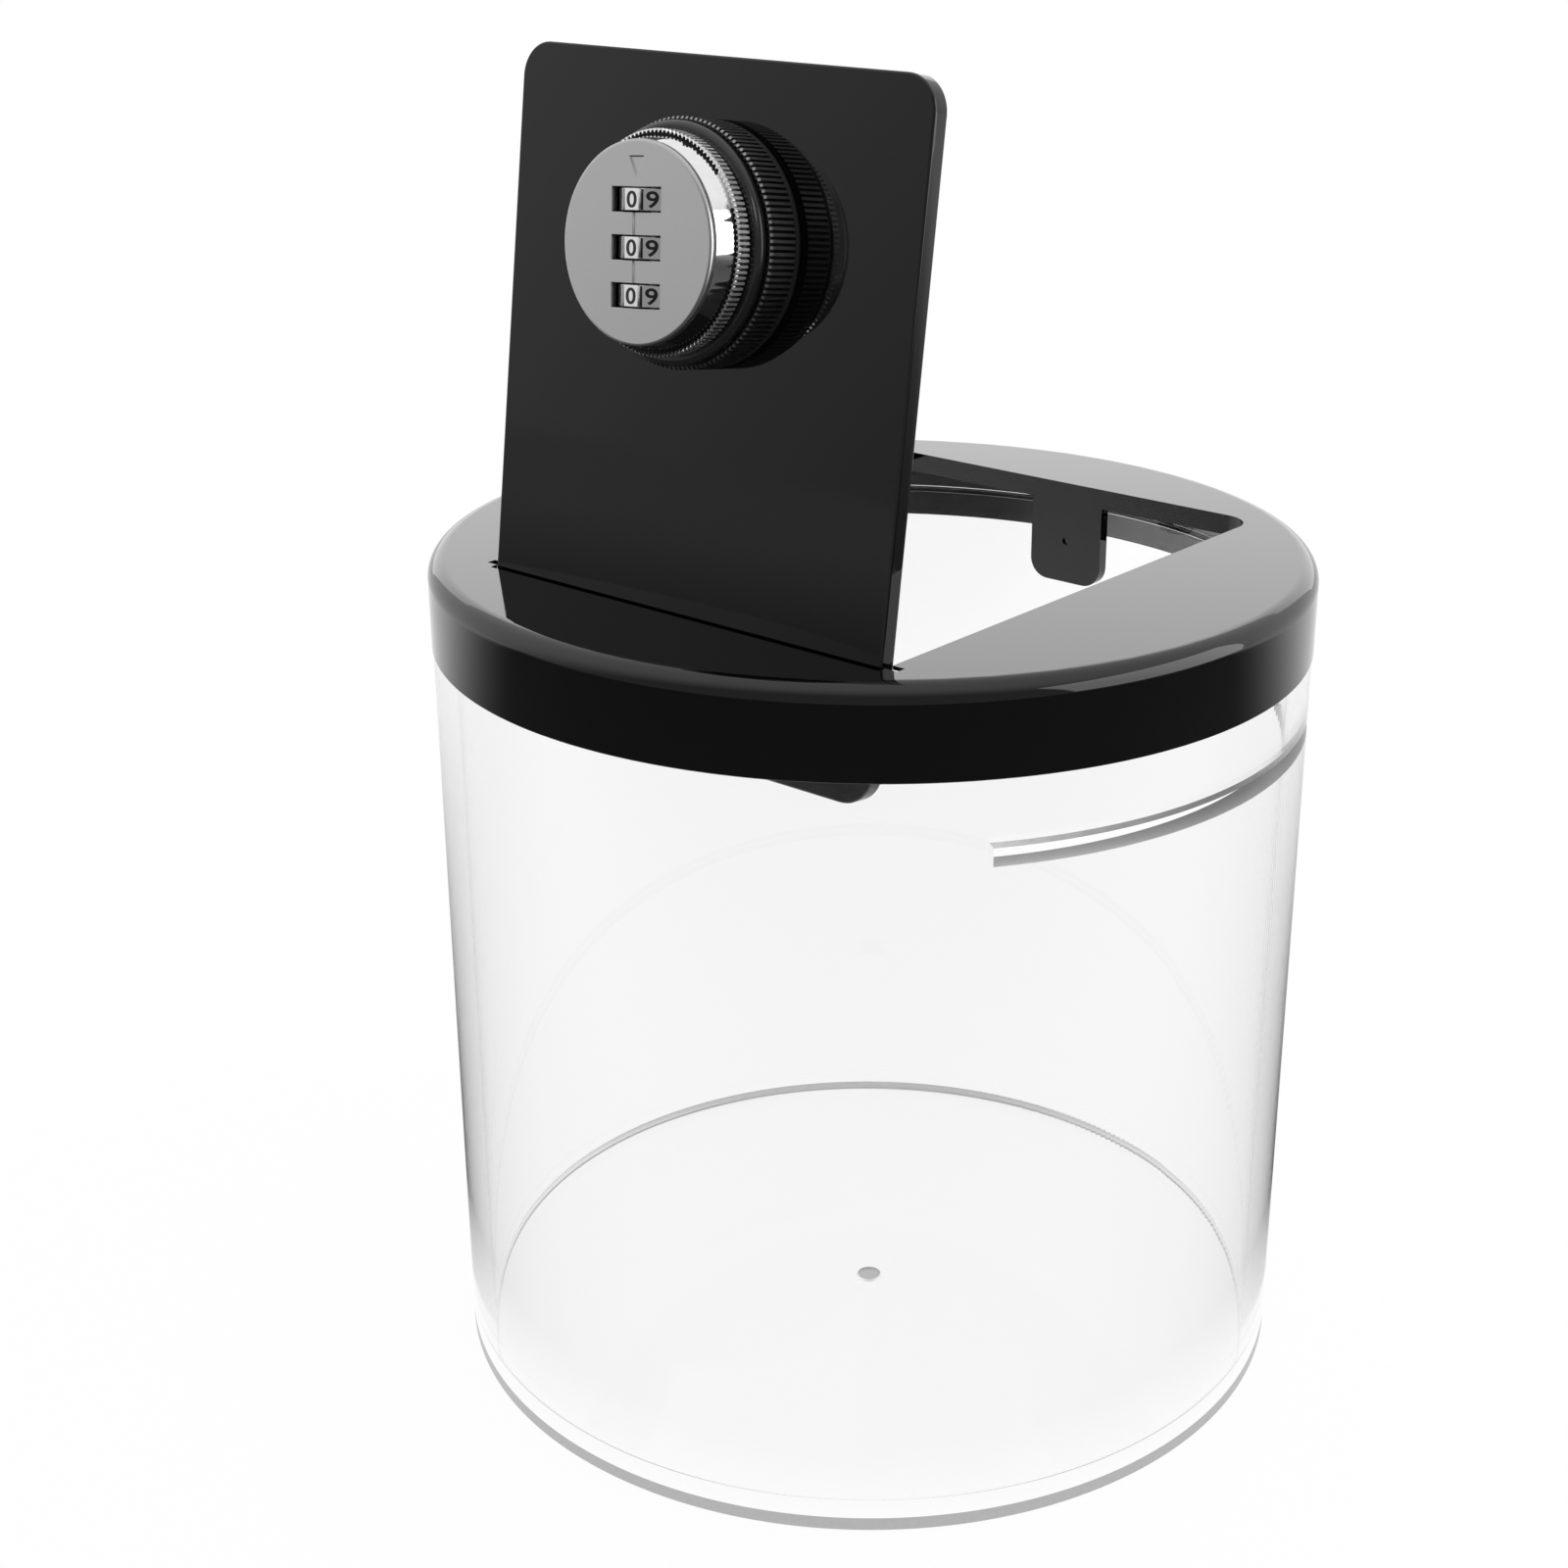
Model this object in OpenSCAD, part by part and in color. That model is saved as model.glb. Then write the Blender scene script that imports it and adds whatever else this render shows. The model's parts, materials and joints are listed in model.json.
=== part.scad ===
// Combination coin bank: a clear jar with a money slot, and a black lid whose opening
// is closed by a flap that carries a three-wheel combination cam lock.
// The flap is drawn standing open. Origin: centre of the jar's underside, +Z up,
// with the flap's hinge side towards -Y and the money slot towards +X.

/* [Jar] */
// Outer radius of the jar's wall
jar_r = 69.8; // [60:0.1:80]
// Height of the shoulder that the lid sits on
jar_h = 123; // [90:1:160]
// Thickness of the wall
jar_wall = 3.4; // [2.8:0.1:4]
// Thickness of the floor
jar_floor = 2.6; // [2:0.1:4]
// Radius of the fillet between floor and wall
floor_fillet = 2.5; // [1:0.1:5]
// Chamfer round the bottom edge
foot_chamfer = 0.5; // [0.2:0.1:1]
// Gap between the neck's top and the lid
neck_room = 0.8; // [0.3:0.1:2]
// Height of the snap bead on the neck
bead_r = 0.7; // [0.4:0.1:0.8]
// Radius of the moulding gate recess under the floor
gate_r = 2.3; // [1:0.1:4]
// Depth of the moulding gate recess
gate_deep = 0.8; // [0.3:0.1:1.2]

/* [Money slot] */
// Height of the slot
slot_h = 2.8; // [2:0.1:4]
// Angle that the slot runs round the jar
slot_arc = 75; // [40:1:90]
// Distance from the shoulder down to the middle of the slot
slot_drop = 11.5; // [6:0.5:25]

/* [Lid] */
// How far the lid stands out past the jar
lid_proud = 0.2; // [0:0.1:1]
// Height of the lid
lid_h = 14; // [13:0.5:20]
// Thickness of the lid's top
lid_t = 3.4; // [3.2:0.1:4]
// Thickness of the skirt
skirt_t = 1.8; // [1.4:0.1:2]
// Radius of the rounded top edge
lid_round = 3; // [1.5:0.1:4]
// Gap between the jar's neck and the skirt
neck_gap = 0.3; // [0.2:0.05:0.5]

/* [Opening] */
// Width of the opening
open_w = 76; // [66:0.5:80]
// Width of the rim outside the opening's nearest corner
corner_rim = 6.2; // [5.5:0.1:12]
// How far the opening lies off the lid's axis, towards +X
open_shift = 2.5; // [0:0.1:3]
// Corner radius of the flap and of the opening's far end
corner_r = 5; // [3:0.1:8]
// Corner radius of the opening's near end, where the standing flap's sides pass
near_corner_r = 0.5; // [0.3:0.1:0.8]
// Depth of the square edge above the bevel under the near edge
bevel_top = 1; // [0.6:0.1:1.2]
// How far the bevel runs under the near edge
bevel_run = 3; // [2.5:0.1:5]

/* [Keeper tab] */
// Width of the tab that the cam turns under
tab_w = 14.5; // [10:0.5:20]
// Thickness of the tab
tab_t = 2; // [1.5:0.1:3]
// Depth of the tab's end below the lid's top
tab_drop = 18.2; // [16:0.1:22]
// How far the tab stands back from the opening's far edge
tab_back = 1.2; // [0.5:0.1:3]
// Radius of the tab's lower corners
tab_round = 3.5; // [1:0.1:5]
// Radius of the ejector mark on the tab
mark_r = 0.7; // [0.4:0.1:1.2]
// Depth of the ejector mark
mark_deep = 0.4; // [0.2:0.1:0.8]

/* [Flap] */
// Thickness of the flap
flap_t = 2.8; // [2.6:0.1:3]
// Gap at the flap's sides and far end
flap_gap = 0.4; // [0.3:0.05:0.6]
// Gap at the flap's near end, where its tail swings under the lid
near_gap = 1.2; // [1.1:0.1:1.6]
// Length of the tail between the hinge pins and the near end
tail = 18.4; // [15:0.1:19]
// Angle that the flap stands open at
open_angle = 82; // [75:1:90]
// Gap between the standing flap's front and the opening's near edge
stand_gap = 1; // [0.8:0.1:1.5]

/* [Hinge pins] */
// Radius of a hinge pin
pin_r = 0.7; // [0.5:0.05:0.75]
// Length of a pin inside the flap
pin_in = 6; // [4:0.5:10]
// Length of a pin inside its track in the lid
pin_out = 1.5; // [1:0.1:2.5]
// Radial clearance of a pin in the flap
pin_fit = 0.05; // [0.02:0.01:0.08]
// Gap round a pin in its track
track_gap = 0.1; // [0.05:0.01:0.12]

/* [Lock outside] */
// Distance from the flap's far end to the lock's axis
lock_end = 25.2; // [22:0.1:30]
// How far the lock's axis lies off the flap's middle, towards +X
lock_shift = 0.7; // [0:0.1:1]
// Angle that the knob is drawn turned at
knob_rest = 4.5; // [0:0.5:6]
// How far the knurled collar stands out past the knob
collar_out = 3.3; // [2.8:0.1:5]
// Height of the collar's knurled band
collar_h = 5.2; // [4:0.1:6]
// How far the collar's smooth shoulder stands out past the knob
shoulder_out = 2.8; // [2:0.1:4]
// Height of the smooth shoulder
shoulder_h = 1.8; // [1.4:0.1:2.4]
// Number of ridges round the collar
collar_ridges = 126; // [60:2:180]
// How far the knob's knurled foot stands out past the knob
foot_out = 1.5; // [1.4:0.1:2]
// Height of the knob's knurled foot
foot_h = 2.3; // [1.6:0.1:2.6]
// Number of ridges round the knob's foot
foot_ridges = 126; // [60:2:160]
// Depth of the ridges
ridge_deep = 0.3; // [0.2:0.05:0.5]
// Radius of the knob and its face
knob_r = 13.6; // [13.2:0.1:14]
// How much wider the knob's polished band gets towards its foot
band_taper = 0.7; // [0:0.1:1]
// Thickness of the face plate
face_t = 1; // [0.8:0.1:1.1]
// Chamfer round the face plate
face_chamfer = 0.35; // [0.2:0.05:0.5]
// Thickness of the gasket under the collar
gasket_t = 1; // [0.6:0.1:1.5]
// Thickness of the housing's floor, and the step between the knob and its drum
shell_t = 1; // [0.8:0.1:1.2]
// Thickness of the knob's floor under the wheels
knob_floor = 1.9; // [1:0.1:2.5]
// Axial gap between the knob and the housing
knob_gap = 0.25; // [0.15:0.05:0.3]

/* [Number wheels] */
// Radius of a wheel across its corners
dial_r = 5.2; // [4.8:0.1:5.3]
// Width of a wheel
dial_w = 2.9; // [2.4:0.1:3.2]
// Distance between two wheels
dial_pitch = 6.3; // [6:0.1:6.6]
// How far the middle wheel lies below the knob's middle
dial_shift = 0.6; // [0:0.1:0.8]
// How far a wheel's corners stand out of the face
dial_proud = 1.1; // [0.6:0.1:1.4]
// Number of digits on a wheel
digits = 10; // [10]
// Width of the finger groove at each corner of a wheel
groove_w = 0.7; // [0.4:0.1:1]
// Depth of a groove below the wheel's flats
groove_deep = 0.45; // [0.2:0.05:0.8]
// Gap between a wheel's corners and the ends of its window
window_gap = 0.3; // [0.3:0.05:0.6]
// Gap between a wheel and the window and pocket at its sides
dial_gap = 0.2; // [0.15:0.05:0.3]
// Gap between a wheel's corners and its pocket
pocket_gap = 0.4; // [0.3:0.05:0.6]
// Radius of the wheels' axle
axle_r = 1; // [0.8:0.05:1.2]
// Length of the axle's seat in the knob at each end
axle_seat = 2; // [1:0.1:2.5]
// Radial clearance of a wheel on the axle
dial_fit = 0.05; // [0.02:0.01:0.08]
// Thickness of the click spring
spring_t = 0.3; // [0.2:0.05:0.4]
// Width of the click spring
spring_w = 5; // [4:0.5:6]
// Rise of the spring's fingers
finger_rise = 0.4; // [0.3:0.05:0.5]
// Gap between the fingers and the wheels' corners
finger_gap = 0.35; // [0.3:0.05:0.6]

/* [Lock inside] */
// Radius of the housing's barrel
barrel_r = 10.8; // [10:0.1:11.5]
// Depth of the barrel's two flats
flat_cut = 1.3; // [0.6:0.1:2]
// Clearance of the barrel in the flap
barrel_fit = 0.15; // [0.1:0.05:0.3]
// Thickness of the nut's wall at its flats
nut_wall = 2.2; // [1.5:0.1:4]
// Thickness of the nut
nut_t = 4; // [3:0.5:6]
// Width of the washer under the nut
nut_washer_w = 4.7; // [3:0.1:6]
// Thickness of the washer under the nut
nut_washer_t = 1; // [0.6:0.1:1.5]
// How far the spindle stands out past the corners of the cam's square
spindle_land = 0.2; // [0.1:0.05:0.6]
// Radial clearance of the knob and the spindle in the housing
turn_fit = 0.06; // [0.03:0.01:0.08]
// Width of the square that carries the cam
tang_w = 5.4; // [4.8:0.1:5.6]
// How much narrower the square key in the knob's floor is
key_step = 0.4; // [0.2:0.1:1]
// Clearance of the squares
square_fit = 0.05; // [0.03:0.01:0.1]
// Thickness of the cam
cam_t = 2; // [1.5:0.1:3]
// Width of the cam's arm
cam_w = 13; // [10:0.5:14]
// Radius of the cam's hub
cam_hub_r = 8; // [7.5:0.1:9]
// Radius of the cam's end corners
cam_round = 3; // [1:0.1:5]
// Gap between the cam and the keeper tab
cam_gap = 0.6; // [0.4:0.1:1]
// How far the cam reaches past the keeper tab
cam_over = 1.5; // [0.5:0.1:4]
// Radius of the cam washer
cam_washer_r = 5.5; // [5:0.1:7]
// Thickness of the cam washer
cam_washer_t = 0.8; // [0.5:0.1:1.2]
// Radius of the cam screw's shank
screw_r = 1.7; // [1.4:0.05:1.9]
// Length of the cam screw's shank
screw_l = 9; // [6:0.5:12]
// Radius of the cam screw's head
screw_head_r = 3.6; // [3:0.1:4.5]
// Height of the cam screw's head
screw_head_h = 2.2; // [1.5:0.1:3]
// Width of the screw's slot
driver_w = 0.9; // [0.6:0.1:1.2]

/* [Hidden] */
$fn = 96;
over = 1;

// Heights of the lid and places of the opening's edges
lid_r = jar_r + lid_proud;
lid_top = jar_h + lid_h;
neck_h = lid_h - lid_t - neck_room;
open_l = 2 * sqrt(pow(lid_r - corner_rim, 2) - pow(open_w / 2 + open_shift, 2));
near_edge = -open_l / 2;
far_edge = open_l / 2;
skirt_in = lid_r - skirt_t;
neck_r = skirt_in - neck_gap;
bore_r = jar_r - jar_wall;
bead_z = jar_h + neck_h / 2;

// The flap, with its pins at mid thickness, flush with the lid when it is shut
flap_w = open_w - 2 * flap_gap;
flap_l = open_l - near_gap - flap_gap;
half_t = flap_t / 2;
pin_z = lid_top - half_t;
pin_shut_y = near_edge + near_gap + tail;
face_lean = half_t * (1 - cos(open_angle)) * cos(open_angle) / sin(open_angle);
pin_y = near_edge + stand_gap + half_t * sin(open_angle) - face_lean;
track_r = pin_r + track_gap;
track_deep = pin_out + flap_gap + 2 * track_gap;

// The lock, in heights off the flap's front and radii from its axis
lock_y = flap_l - tail - lock_end;
collar_r = knob_r + collar_out;
shoulder_r = knob_r + shoulder_out;
foot_r = knob_r + foot_out;
drum_r = knob_r - shell_t;
barrel_flats = 2 * (barrel_r - flat_cut);
nut_af = 2 * (barrel_r + nut_wall);
nut_washer_r = barrel_r + nut_washer_w;
spindle_r = tang_w * sqrt(2) / 2 + spindle_land;
key_w = tang_w - key_step;
collar_top = gasket_t + collar_h + shoulder_h;
cup_floor = gasket_t + shell_t;
drum_floor = cup_floor + knob_gap / 4;
pocket_floor = drum_floor + knob_floor;
spring_z = pocket_floor + square_fit;
spring_l = 2 * dial_pitch + dial_w + 2 * dial_gap;
axle_z = spring_z + spring_t + finger_rise + finger_gap + dial_r;
axle_l = spring_l + 2 * axle_seat;
pocket_half = dial_r + pocket_gap;
face_top = axle_z + dial_r - dial_proud;
window_w = 2 * (sqrt(pow(dial_r, 2) - pow(dial_r - dial_proud - face_t, 2)) + window_gap);
face_z = face_top - face_t;
foot_z = collar_top + knob_gap;
knob_h = face_z - foot_z - foot_h;
cam_top = -tab_drop - cam_gap;
barrel_end = cam_top + knob_gap;
cam_reach = lock_end + flap_gap + tab_back + tab_t + cam_over;

// Frames: the flap's own, from the middle of its hinge line, the lock's, on the flap's front,
// and the knob's, which is turned about the lock's axis
module on_flap() {
    translate([open_shift, pin_y, pin_z]) rotate([open_angle, 0, 0]) children();
}

module on_lock() {
    on_flap() translate([lock_shift, lock_y, half_t]) children();
}

module on_knob() {
    on_lock() rotate([0, 0, knob_rest]) children();
}

// Flat rectangle with round corners, centred
module rounded_rect(w, l, r) {
    square([w - 2 * r, l], center = true);
    square([w, l - 2 * r], center = true);
    for (x = [-1, 1], y = [-1, 1]) {
        translate([x * (w / 2 - r), y * (l / 2 - r)]) circle(r);
    }
}

// Round bar with two flats, seen end on
module double_d(r, flats) {
    intersection() {
        circle(r);
        square([flats, 2 * r + over], center = true);
    }
}

// Ring of straight ridges
module knurled(r, ridges, h) {
    linear_extrude(h) polygon([
        for (i = [0 : 2 * ridges - 1])
            let (a = i * 180 / ridges, q = r - (i % 2) * ridge_deep)
            [q * cos(a), q * sin(a)]
    ]);
}

module tube(r, bore, h) {
    difference() {
        cylinder(r = r, h = h);
        translate([0, 0, -over]) cylinder(r = bore, h = h + 2 * over);
    }
}

// Half section of the space inside the jar, with a fillet at the floor
module jar_space() {
    translate([0, jar_floor]) square([bore_r - floor_fillet, jar_h + neck_h]);
    translate([0, jar_floor + floor_fillet]) square([bore_r, jar_h + neck_h]);
    translate([bore_r - floor_fillet, jar_floor + floor_fillet]) circle(floor_fillet);
}

module jar() {
    color([0.92, 0.95, 0.97, 0.35]) difference() {
        rotate_extrude() difference() {
            union() {
                polygon([
                    [0, 0], [jar_r - foot_chamfer, 0], [jar_r, foot_chamfer],
                    [jar_r, jar_h], [0, jar_h]
                ]);
                square([neck_r, jar_h + neck_h]);
                translate([neck_r - bead_r / 2, bead_z]) circle(bead_r);
            }
            jar_space();
        }
        rotate([0, 0, -slot_arc / 2])
            translate([0, 0, jar_h - slot_drop - slot_h / 2])
            rotate_extrude(angle = slot_arc)
            translate([bore_r - over, 0]) square([jar_wall + 2 * over, slot_h]);
        translate([0, 0, -over]) cylinder(r = gate_r, h = gate_deep + over);
    }
}

// Half section of the lid: rounded outer edge, skirt, and a groove for the neck's bead
module lid_section() {
    difference() {
        union() {
            square([lid_r - lid_round, lid_h]);
            square([lid_r, lid_h - lid_round]);
            translate([lid_r - lid_round, lid_h - lid_round]) circle(lid_round);
        }
        translate([0, -over]) square([skirt_in, lid_h - lid_t + over]);
        translate([neck_r - bead_r / 2, bead_z - jar_h]) circle(bead_r + neck_gap);
    }
}

// Outline of the opening, with tight corners at its near end
module opening() {
    rounded_rect(open_w, open_l, corner_r);
    translate([0, near_edge / 2]) rounded_rect(open_w, open_l / 2, near_corner_r);
}

// Track for one hinge pin in the opening's side, with a notch at the near end that lets the pin in
module pin_track() {
    run = pin_shut_y - pin_y;
    translate([open_w / 2 - over, pin_y, pin_z]) {
        translate([0, 0, -track_r]) cube([track_deep + over, run, 2 * track_r]);
        for (y = [0, run]) {
            translate([0, y, 0]) rotate([0, 90, 0]) cylinder(r = track_r, h = track_deep + over);
        }
        translate([0, -track_r, 0]) cube([track_deep + over, 2 * track_r, half_t + over]);
    }
}

module keeper_tab() {
    difference() {
        translate([0, far_edge + tab_back + tab_t, lid_top]) rotate([90, 0, 0]) linear_extrude(tab_t) {
            translate([-tab_w / 2, tab_round - tab_drop]) square([tab_w, tab_drop - tab_round - lid_t / 2]);
            translate([0, tab_round - tab_drop])
                square([tab_w - 2 * tab_round, 2 * tab_round], center = true);
            for (x = [-1, 1]) {
                translate([x * (tab_w / 2 - tab_round), tab_round - tab_drop]) circle(tab_round);
            }
        }
        translate([0, far_edge + tab_back - over, lid_top - (tab_drop + lid_t) / 2])
            rotate([-90, 0, 0]) cylinder(r = mark_r, h = mark_deep + over);
    }
}

module lid() {
    bevel = [
        [near_edge + over, lid_top - bevel_top], [near_edge, lid_top - bevel_top],
        [near_edge - bevel_run, lid_top - lid_t], [near_edge - bevel_run, lid_top - lid_t - over],
        [near_edge + over, lid_top - lid_t - over]
    ];
    color([0.05, 0.05, 0.055]) {
        difference() {
            translate([0, 0, jar_h]) rotate_extrude() lid_section();
            translate([open_shift, 0, jar_h]) linear_extrude(lid_h + over) opening();
            translate([open_shift, 0, 0]) for (side = [0, 1]) mirror([side, 0, 0]) pin_track();
            translate([open_shift - open_w / 2, 0, 0]) rotate([90, 0, 90])
                linear_extrude(open_w) polygon(bevel);
        }
        translate([open_shift, 0, 0]) keeper_tab();
    }
}

module flap() {
    color([0.06, 0.06, 0.065]) on_flap() difference() {
        translate([0, flap_l / 2 - tail, -half_t]) linear_extrude(flap_t)
            rounded_rect(flap_w, flap_l, corner_r);
        for (side = [-1, 1]) {
            translate([side * (flap_w / 2 - pin_in), 0, 0]) rotate([0, side * 90, 0])
                cylinder(r = pin_r + pin_fit, h = pin_in + over);
        }
        translate([lock_shift, lock_y, -half_t - over]) linear_extrude(flap_t + 2 * over)
            double_d(barrel_r + barrel_fit, barrel_flats + 2 * barrel_fit);
    }
}

// One hinge pin, half in the flap's edge and half in the lid's track
module hinge_pin(side) {
    color([0.3, 0.3, 0.31]) on_flap()
        translate([side * (flap_w / 2 - pin_in + pin_fit), 0, 0]) rotate([0, side * 90, 0])
        cylinder(r = pin_r, h = pin_in + flap_gap + pin_out);
}

module lock_gasket() {
    color([0.08, 0.08, 0.08]) on_lock() tube(collar_r, barrel_r + barrel_fit, gasket_t);
}

module lock_housing() {
    shoulder_round = shoulder_h / 2;
    color([0.07, 0.07, 0.075]) on_lock() difference() {
        union() {
            translate([0, 0, gasket_t]) knurled(collar_r, collar_ridges, collar_h);
            translate([0, 0, gasket_t + collar_h]) rotate_extrude() {
                square([shoulder_r - shoulder_round, shoulder_h]);
                translate([shoulder_r - shoulder_round, shoulder_round]) circle(shoulder_round);
            }
            translate([0, 0, barrel_end]) linear_extrude(cup_floor - barrel_end)
                double_d(barrel_r, barrel_flats);
        }
        translate([0, 0, cup_floor]) cylinder(r = drum_r + turn_fit, h = collar_top);
        translate([0, 0, barrel_end - over])
            cylinder(r = spindle_r + turn_fit, h = cup_floor - barrel_end + 2 * over);
    }
}

module nut_washer() {
    color([0.75, 0.75, 0.77]) on_lock()
        translate([0, 0, -flap_t - nut_washer_t]) tube(nut_washer_r, barrel_r + barrel_fit, nut_washer_t);
}

module lock_nut() {
    color([0.72, 0.72, 0.74]) on_lock() translate([0, 0, -flap_t - nut_washer_t - nut_t]) difference() {
        cylinder(r = nut_af / 2 / cos(30), h = nut_t, $fn = 6);
        translate([0, 0, -over]) cylinder(r = barrel_r + square_fit, h = nut_t + 2 * over);
    }
}

// Places of the three wheels along the axle, the first nearest the arrow
function dial_y(i) = (2 - i) * dial_pitch - dial_shift;

module knob() {
    color([0.8, 0.8, 0.82]) on_knob() difference() {
        union() {
            translate([0, 0, drum_floor]) cylinder(r = drum_r, h = foot_z - drum_floor);
            translate([0, 0, foot_z]) knurled(foot_r, foot_ridges, foot_h);
            translate([0, 0, foot_z + foot_h]) cylinder(r1 = knob_r + band_taper, r2 = knob_r, h = knob_h);
        }
        for (i = [1 : 3]) {
            translate([-pocket_half, dial_y(i) - dial_w / 2 - dial_gap, pocket_floor])
                cube([2 * pocket_half, dial_w + 2 * dial_gap, face_z]);
        }
        translate([-spring_w / 2 - square_fit, -spring_l / 2 - dial_shift - square_fit, pocket_floor])
            cube([spring_w + 2 * square_fit, spring_l + 2 * square_fit, spring_t + finger_rise + dial_gap]);
        translate([0, axle_l / 2 - dial_shift, axle_z]) rotate([90, 0, 0])
            cylinder(r = axle_r + dial_fit / 2, h = axle_l + foot_r);
        translate([-key_w / 2 - square_fit, -key_w / 2 - square_fit, drum_floor - over])
            cube([key_w + 2 * square_fit, key_w + 2 * square_fit, knob_floor + spring_t + over]);
    }
}

module face_plate() {
    window_h = dial_w + 2 * dial_gap;
    color([0.78, 0.78, 0.79]) on_knob() difference() {
        translate([0, 0, face_z]) rotate_extrude() polygon([
            [0, 0], [knob_r, 0], [knob_r, face_t - face_chamfer],
            [knob_r - face_chamfer, face_t], [0, face_t]
        ]);
        for (i = [1 : 3]) {
            translate([-window_w / 2, dial_y(i) - window_h / 2, face_z - over])
                cube([window_w, window_h, face_t + 2 * over]);
        }
    }
}

// Ten-sided wheel with a flat turned to the window and a finger groove at each corner
module dial(i) {
    groove_floor = dial_r * cos(180 / digits) - groove_deep;
    color([0.15, 0.15, 0.16]) on_knob() translate([0, dial_y(i), axle_z]) rotate([90, 0, 0])
        translate([0, 0, -dial_w / 2]) difference() {
            rotate([0, 0, 90 - 180 / digits]) difference() {
                cylinder(r = dial_r, h = dial_w, $fn = digits);
                for (k = [0 : digits - 1]) {
                    rotate([0, 0, k * 360 / digits]) translate([groove_floor, -groove_w / 2, -over])
                        cube([groove_deep + over, groove_w, dial_w + 2 * over]);
                }
            }
            translate([0, 0, -over]) cylinder(r = axle_r + dial_fit, h = dial_w + 2 * over);
        }
}

module dial_axle() {
    color([0.65, 0.65, 0.67]) on_knob() translate([0, axle_l / 2 - dial_shift - square_fit, axle_z])
        rotate([90, 0, 0]) cylinder(r = axle_r, h = axle_l);
}

// Strip with a raised finger under each wheel
module dial_spring() {
    color([0.75, 0.72, 0.6]) on_knob() translate([0, 0, spring_z]) {
        translate([-spring_w / 2, -spring_l / 2 - dial_shift, 0]) cube([spring_w, spring_l, spring_t]);
        for (i = [1 : 3]) {
            translate([-spring_w / 4, dial_y(i) - dial_w / 4, spring_t])
                cube([spring_w / 2, dial_w / 2, finger_rise]);
        }
    }
}

module spindle() {
    color([0.7, 0.7, 0.72]) on_knob() difference() {
        union() {
            translate([0, 0, cam_top]) cylinder(r = spindle_r, h = drum_floor - cam_top);
            translate([-key_w / 2, -key_w / 2, drum_floor - shell_t])
                cube([key_w, key_w, pocket_floor - drum_floor + shell_t]);
            translate([-tang_w / 2, -tang_w / 2, cam_top - cam_t])
                cube([tang_w, tang_w, cam_t + shell_t]);
        }
        translate([0, 0, cam_top - cam_t - over])
            cylinder(r = screw_r + square_fit, h = screw_l + 2 * over);
    }
}

// Cam with its arm to the side, which is the unlocked place
module cam() {
    color([0.7, 0.7, 0.72]) on_knob() translate([0, 0, cam_top - cam_t]) linear_extrude(cam_t) difference() {
        union() {
            circle(cam_hub_r);
            translate([-cam_reach / 2, 0]) rounded_rect(cam_reach, cam_w, cam_round);
        }
        square(tang_w + 2 * square_fit, center = true);
    }
}

module cam_washer() {
    color([0.75, 0.75, 0.77]) on_knob() translate([0, 0, cam_top - cam_t - cam_washer_t])
        tube(cam_washer_r, screw_r + square_fit, cam_washer_t);
}

module cam_screw() {
    head_z = cam_top - cam_t - cam_washer_t - screw_head_h;
    color([0.72, 0.72, 0.74]) on_knob() translate([0, 0, head_z]) difference() {
        union() {
            cylinder(r = screw_head_r, h = screw_head_h);
            cylinder(r = screw_r, h = screw_head_h + cam_washer_t + screw_l);
        }
        translate([-screw_head_r - over, -driver_w / 2, -over])
            cube([2 * screw_head_r + 2 * over, driver_w, screw_head_h / 2 + over]);
    }
}

jar();
lid();
flap();
hinge_pin(-1);  // hinge_pin_left
hinge_pin(1);  // hinge_pin_right
lock_gasket();
lock_housing();
nut_washer();
lock_nut();
knob();
face_plate();
dial(1);  // dial_1
dial(2);  // dial_2
dial(3);  // dial_3
dial_axle();
dial_spring();
spindle();
cam();
cam_washer();
cam_screw();
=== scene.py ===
# %% [markdown]
# # A combination coin bank
# The object is a clear moulded jar with a money slot, under a glossy black lid. A flap in the lid carries a
# round lock with three number wheels. The CAD model is loaded first and stays where it is, so every piece
# made here takes its place from the CAD's own joints and boxes. Sizes below are in millimetres, as on a
# drawing, and MM turns them into Blender's metres.

# %% Load the CAD frame
import json
import math

import bmesh
import bpy
from mathutils import Matrix, Vector


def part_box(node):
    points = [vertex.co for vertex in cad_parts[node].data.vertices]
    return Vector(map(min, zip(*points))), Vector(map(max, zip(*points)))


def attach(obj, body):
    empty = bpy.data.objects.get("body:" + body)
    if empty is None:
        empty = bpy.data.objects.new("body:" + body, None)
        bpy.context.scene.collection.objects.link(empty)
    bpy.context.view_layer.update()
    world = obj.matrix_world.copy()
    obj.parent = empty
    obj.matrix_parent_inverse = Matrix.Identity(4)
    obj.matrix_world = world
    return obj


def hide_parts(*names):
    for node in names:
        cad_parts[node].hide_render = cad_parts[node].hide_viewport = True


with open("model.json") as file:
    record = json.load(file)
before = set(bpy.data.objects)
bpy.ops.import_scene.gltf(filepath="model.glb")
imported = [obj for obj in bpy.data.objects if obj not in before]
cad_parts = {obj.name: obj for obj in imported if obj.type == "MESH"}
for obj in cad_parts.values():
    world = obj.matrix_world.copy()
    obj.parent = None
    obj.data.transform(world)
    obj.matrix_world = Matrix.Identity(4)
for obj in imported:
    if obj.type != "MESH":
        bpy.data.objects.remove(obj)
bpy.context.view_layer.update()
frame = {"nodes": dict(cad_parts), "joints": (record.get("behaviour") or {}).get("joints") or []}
MM = 0.001

# %% [markdown]
# The flap stands open, so its pieces are drawn lying flat and stood up afterwards. Three frames do that: one
# on the flap's hinge line, one where the lock's axis meets the flap's front, and one turned with the knob,
# which stands a few degrees off upright. Their directions come from the joints: the knob turns about the
# flap's normal, and the wheels about the knob's own upright.

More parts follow.
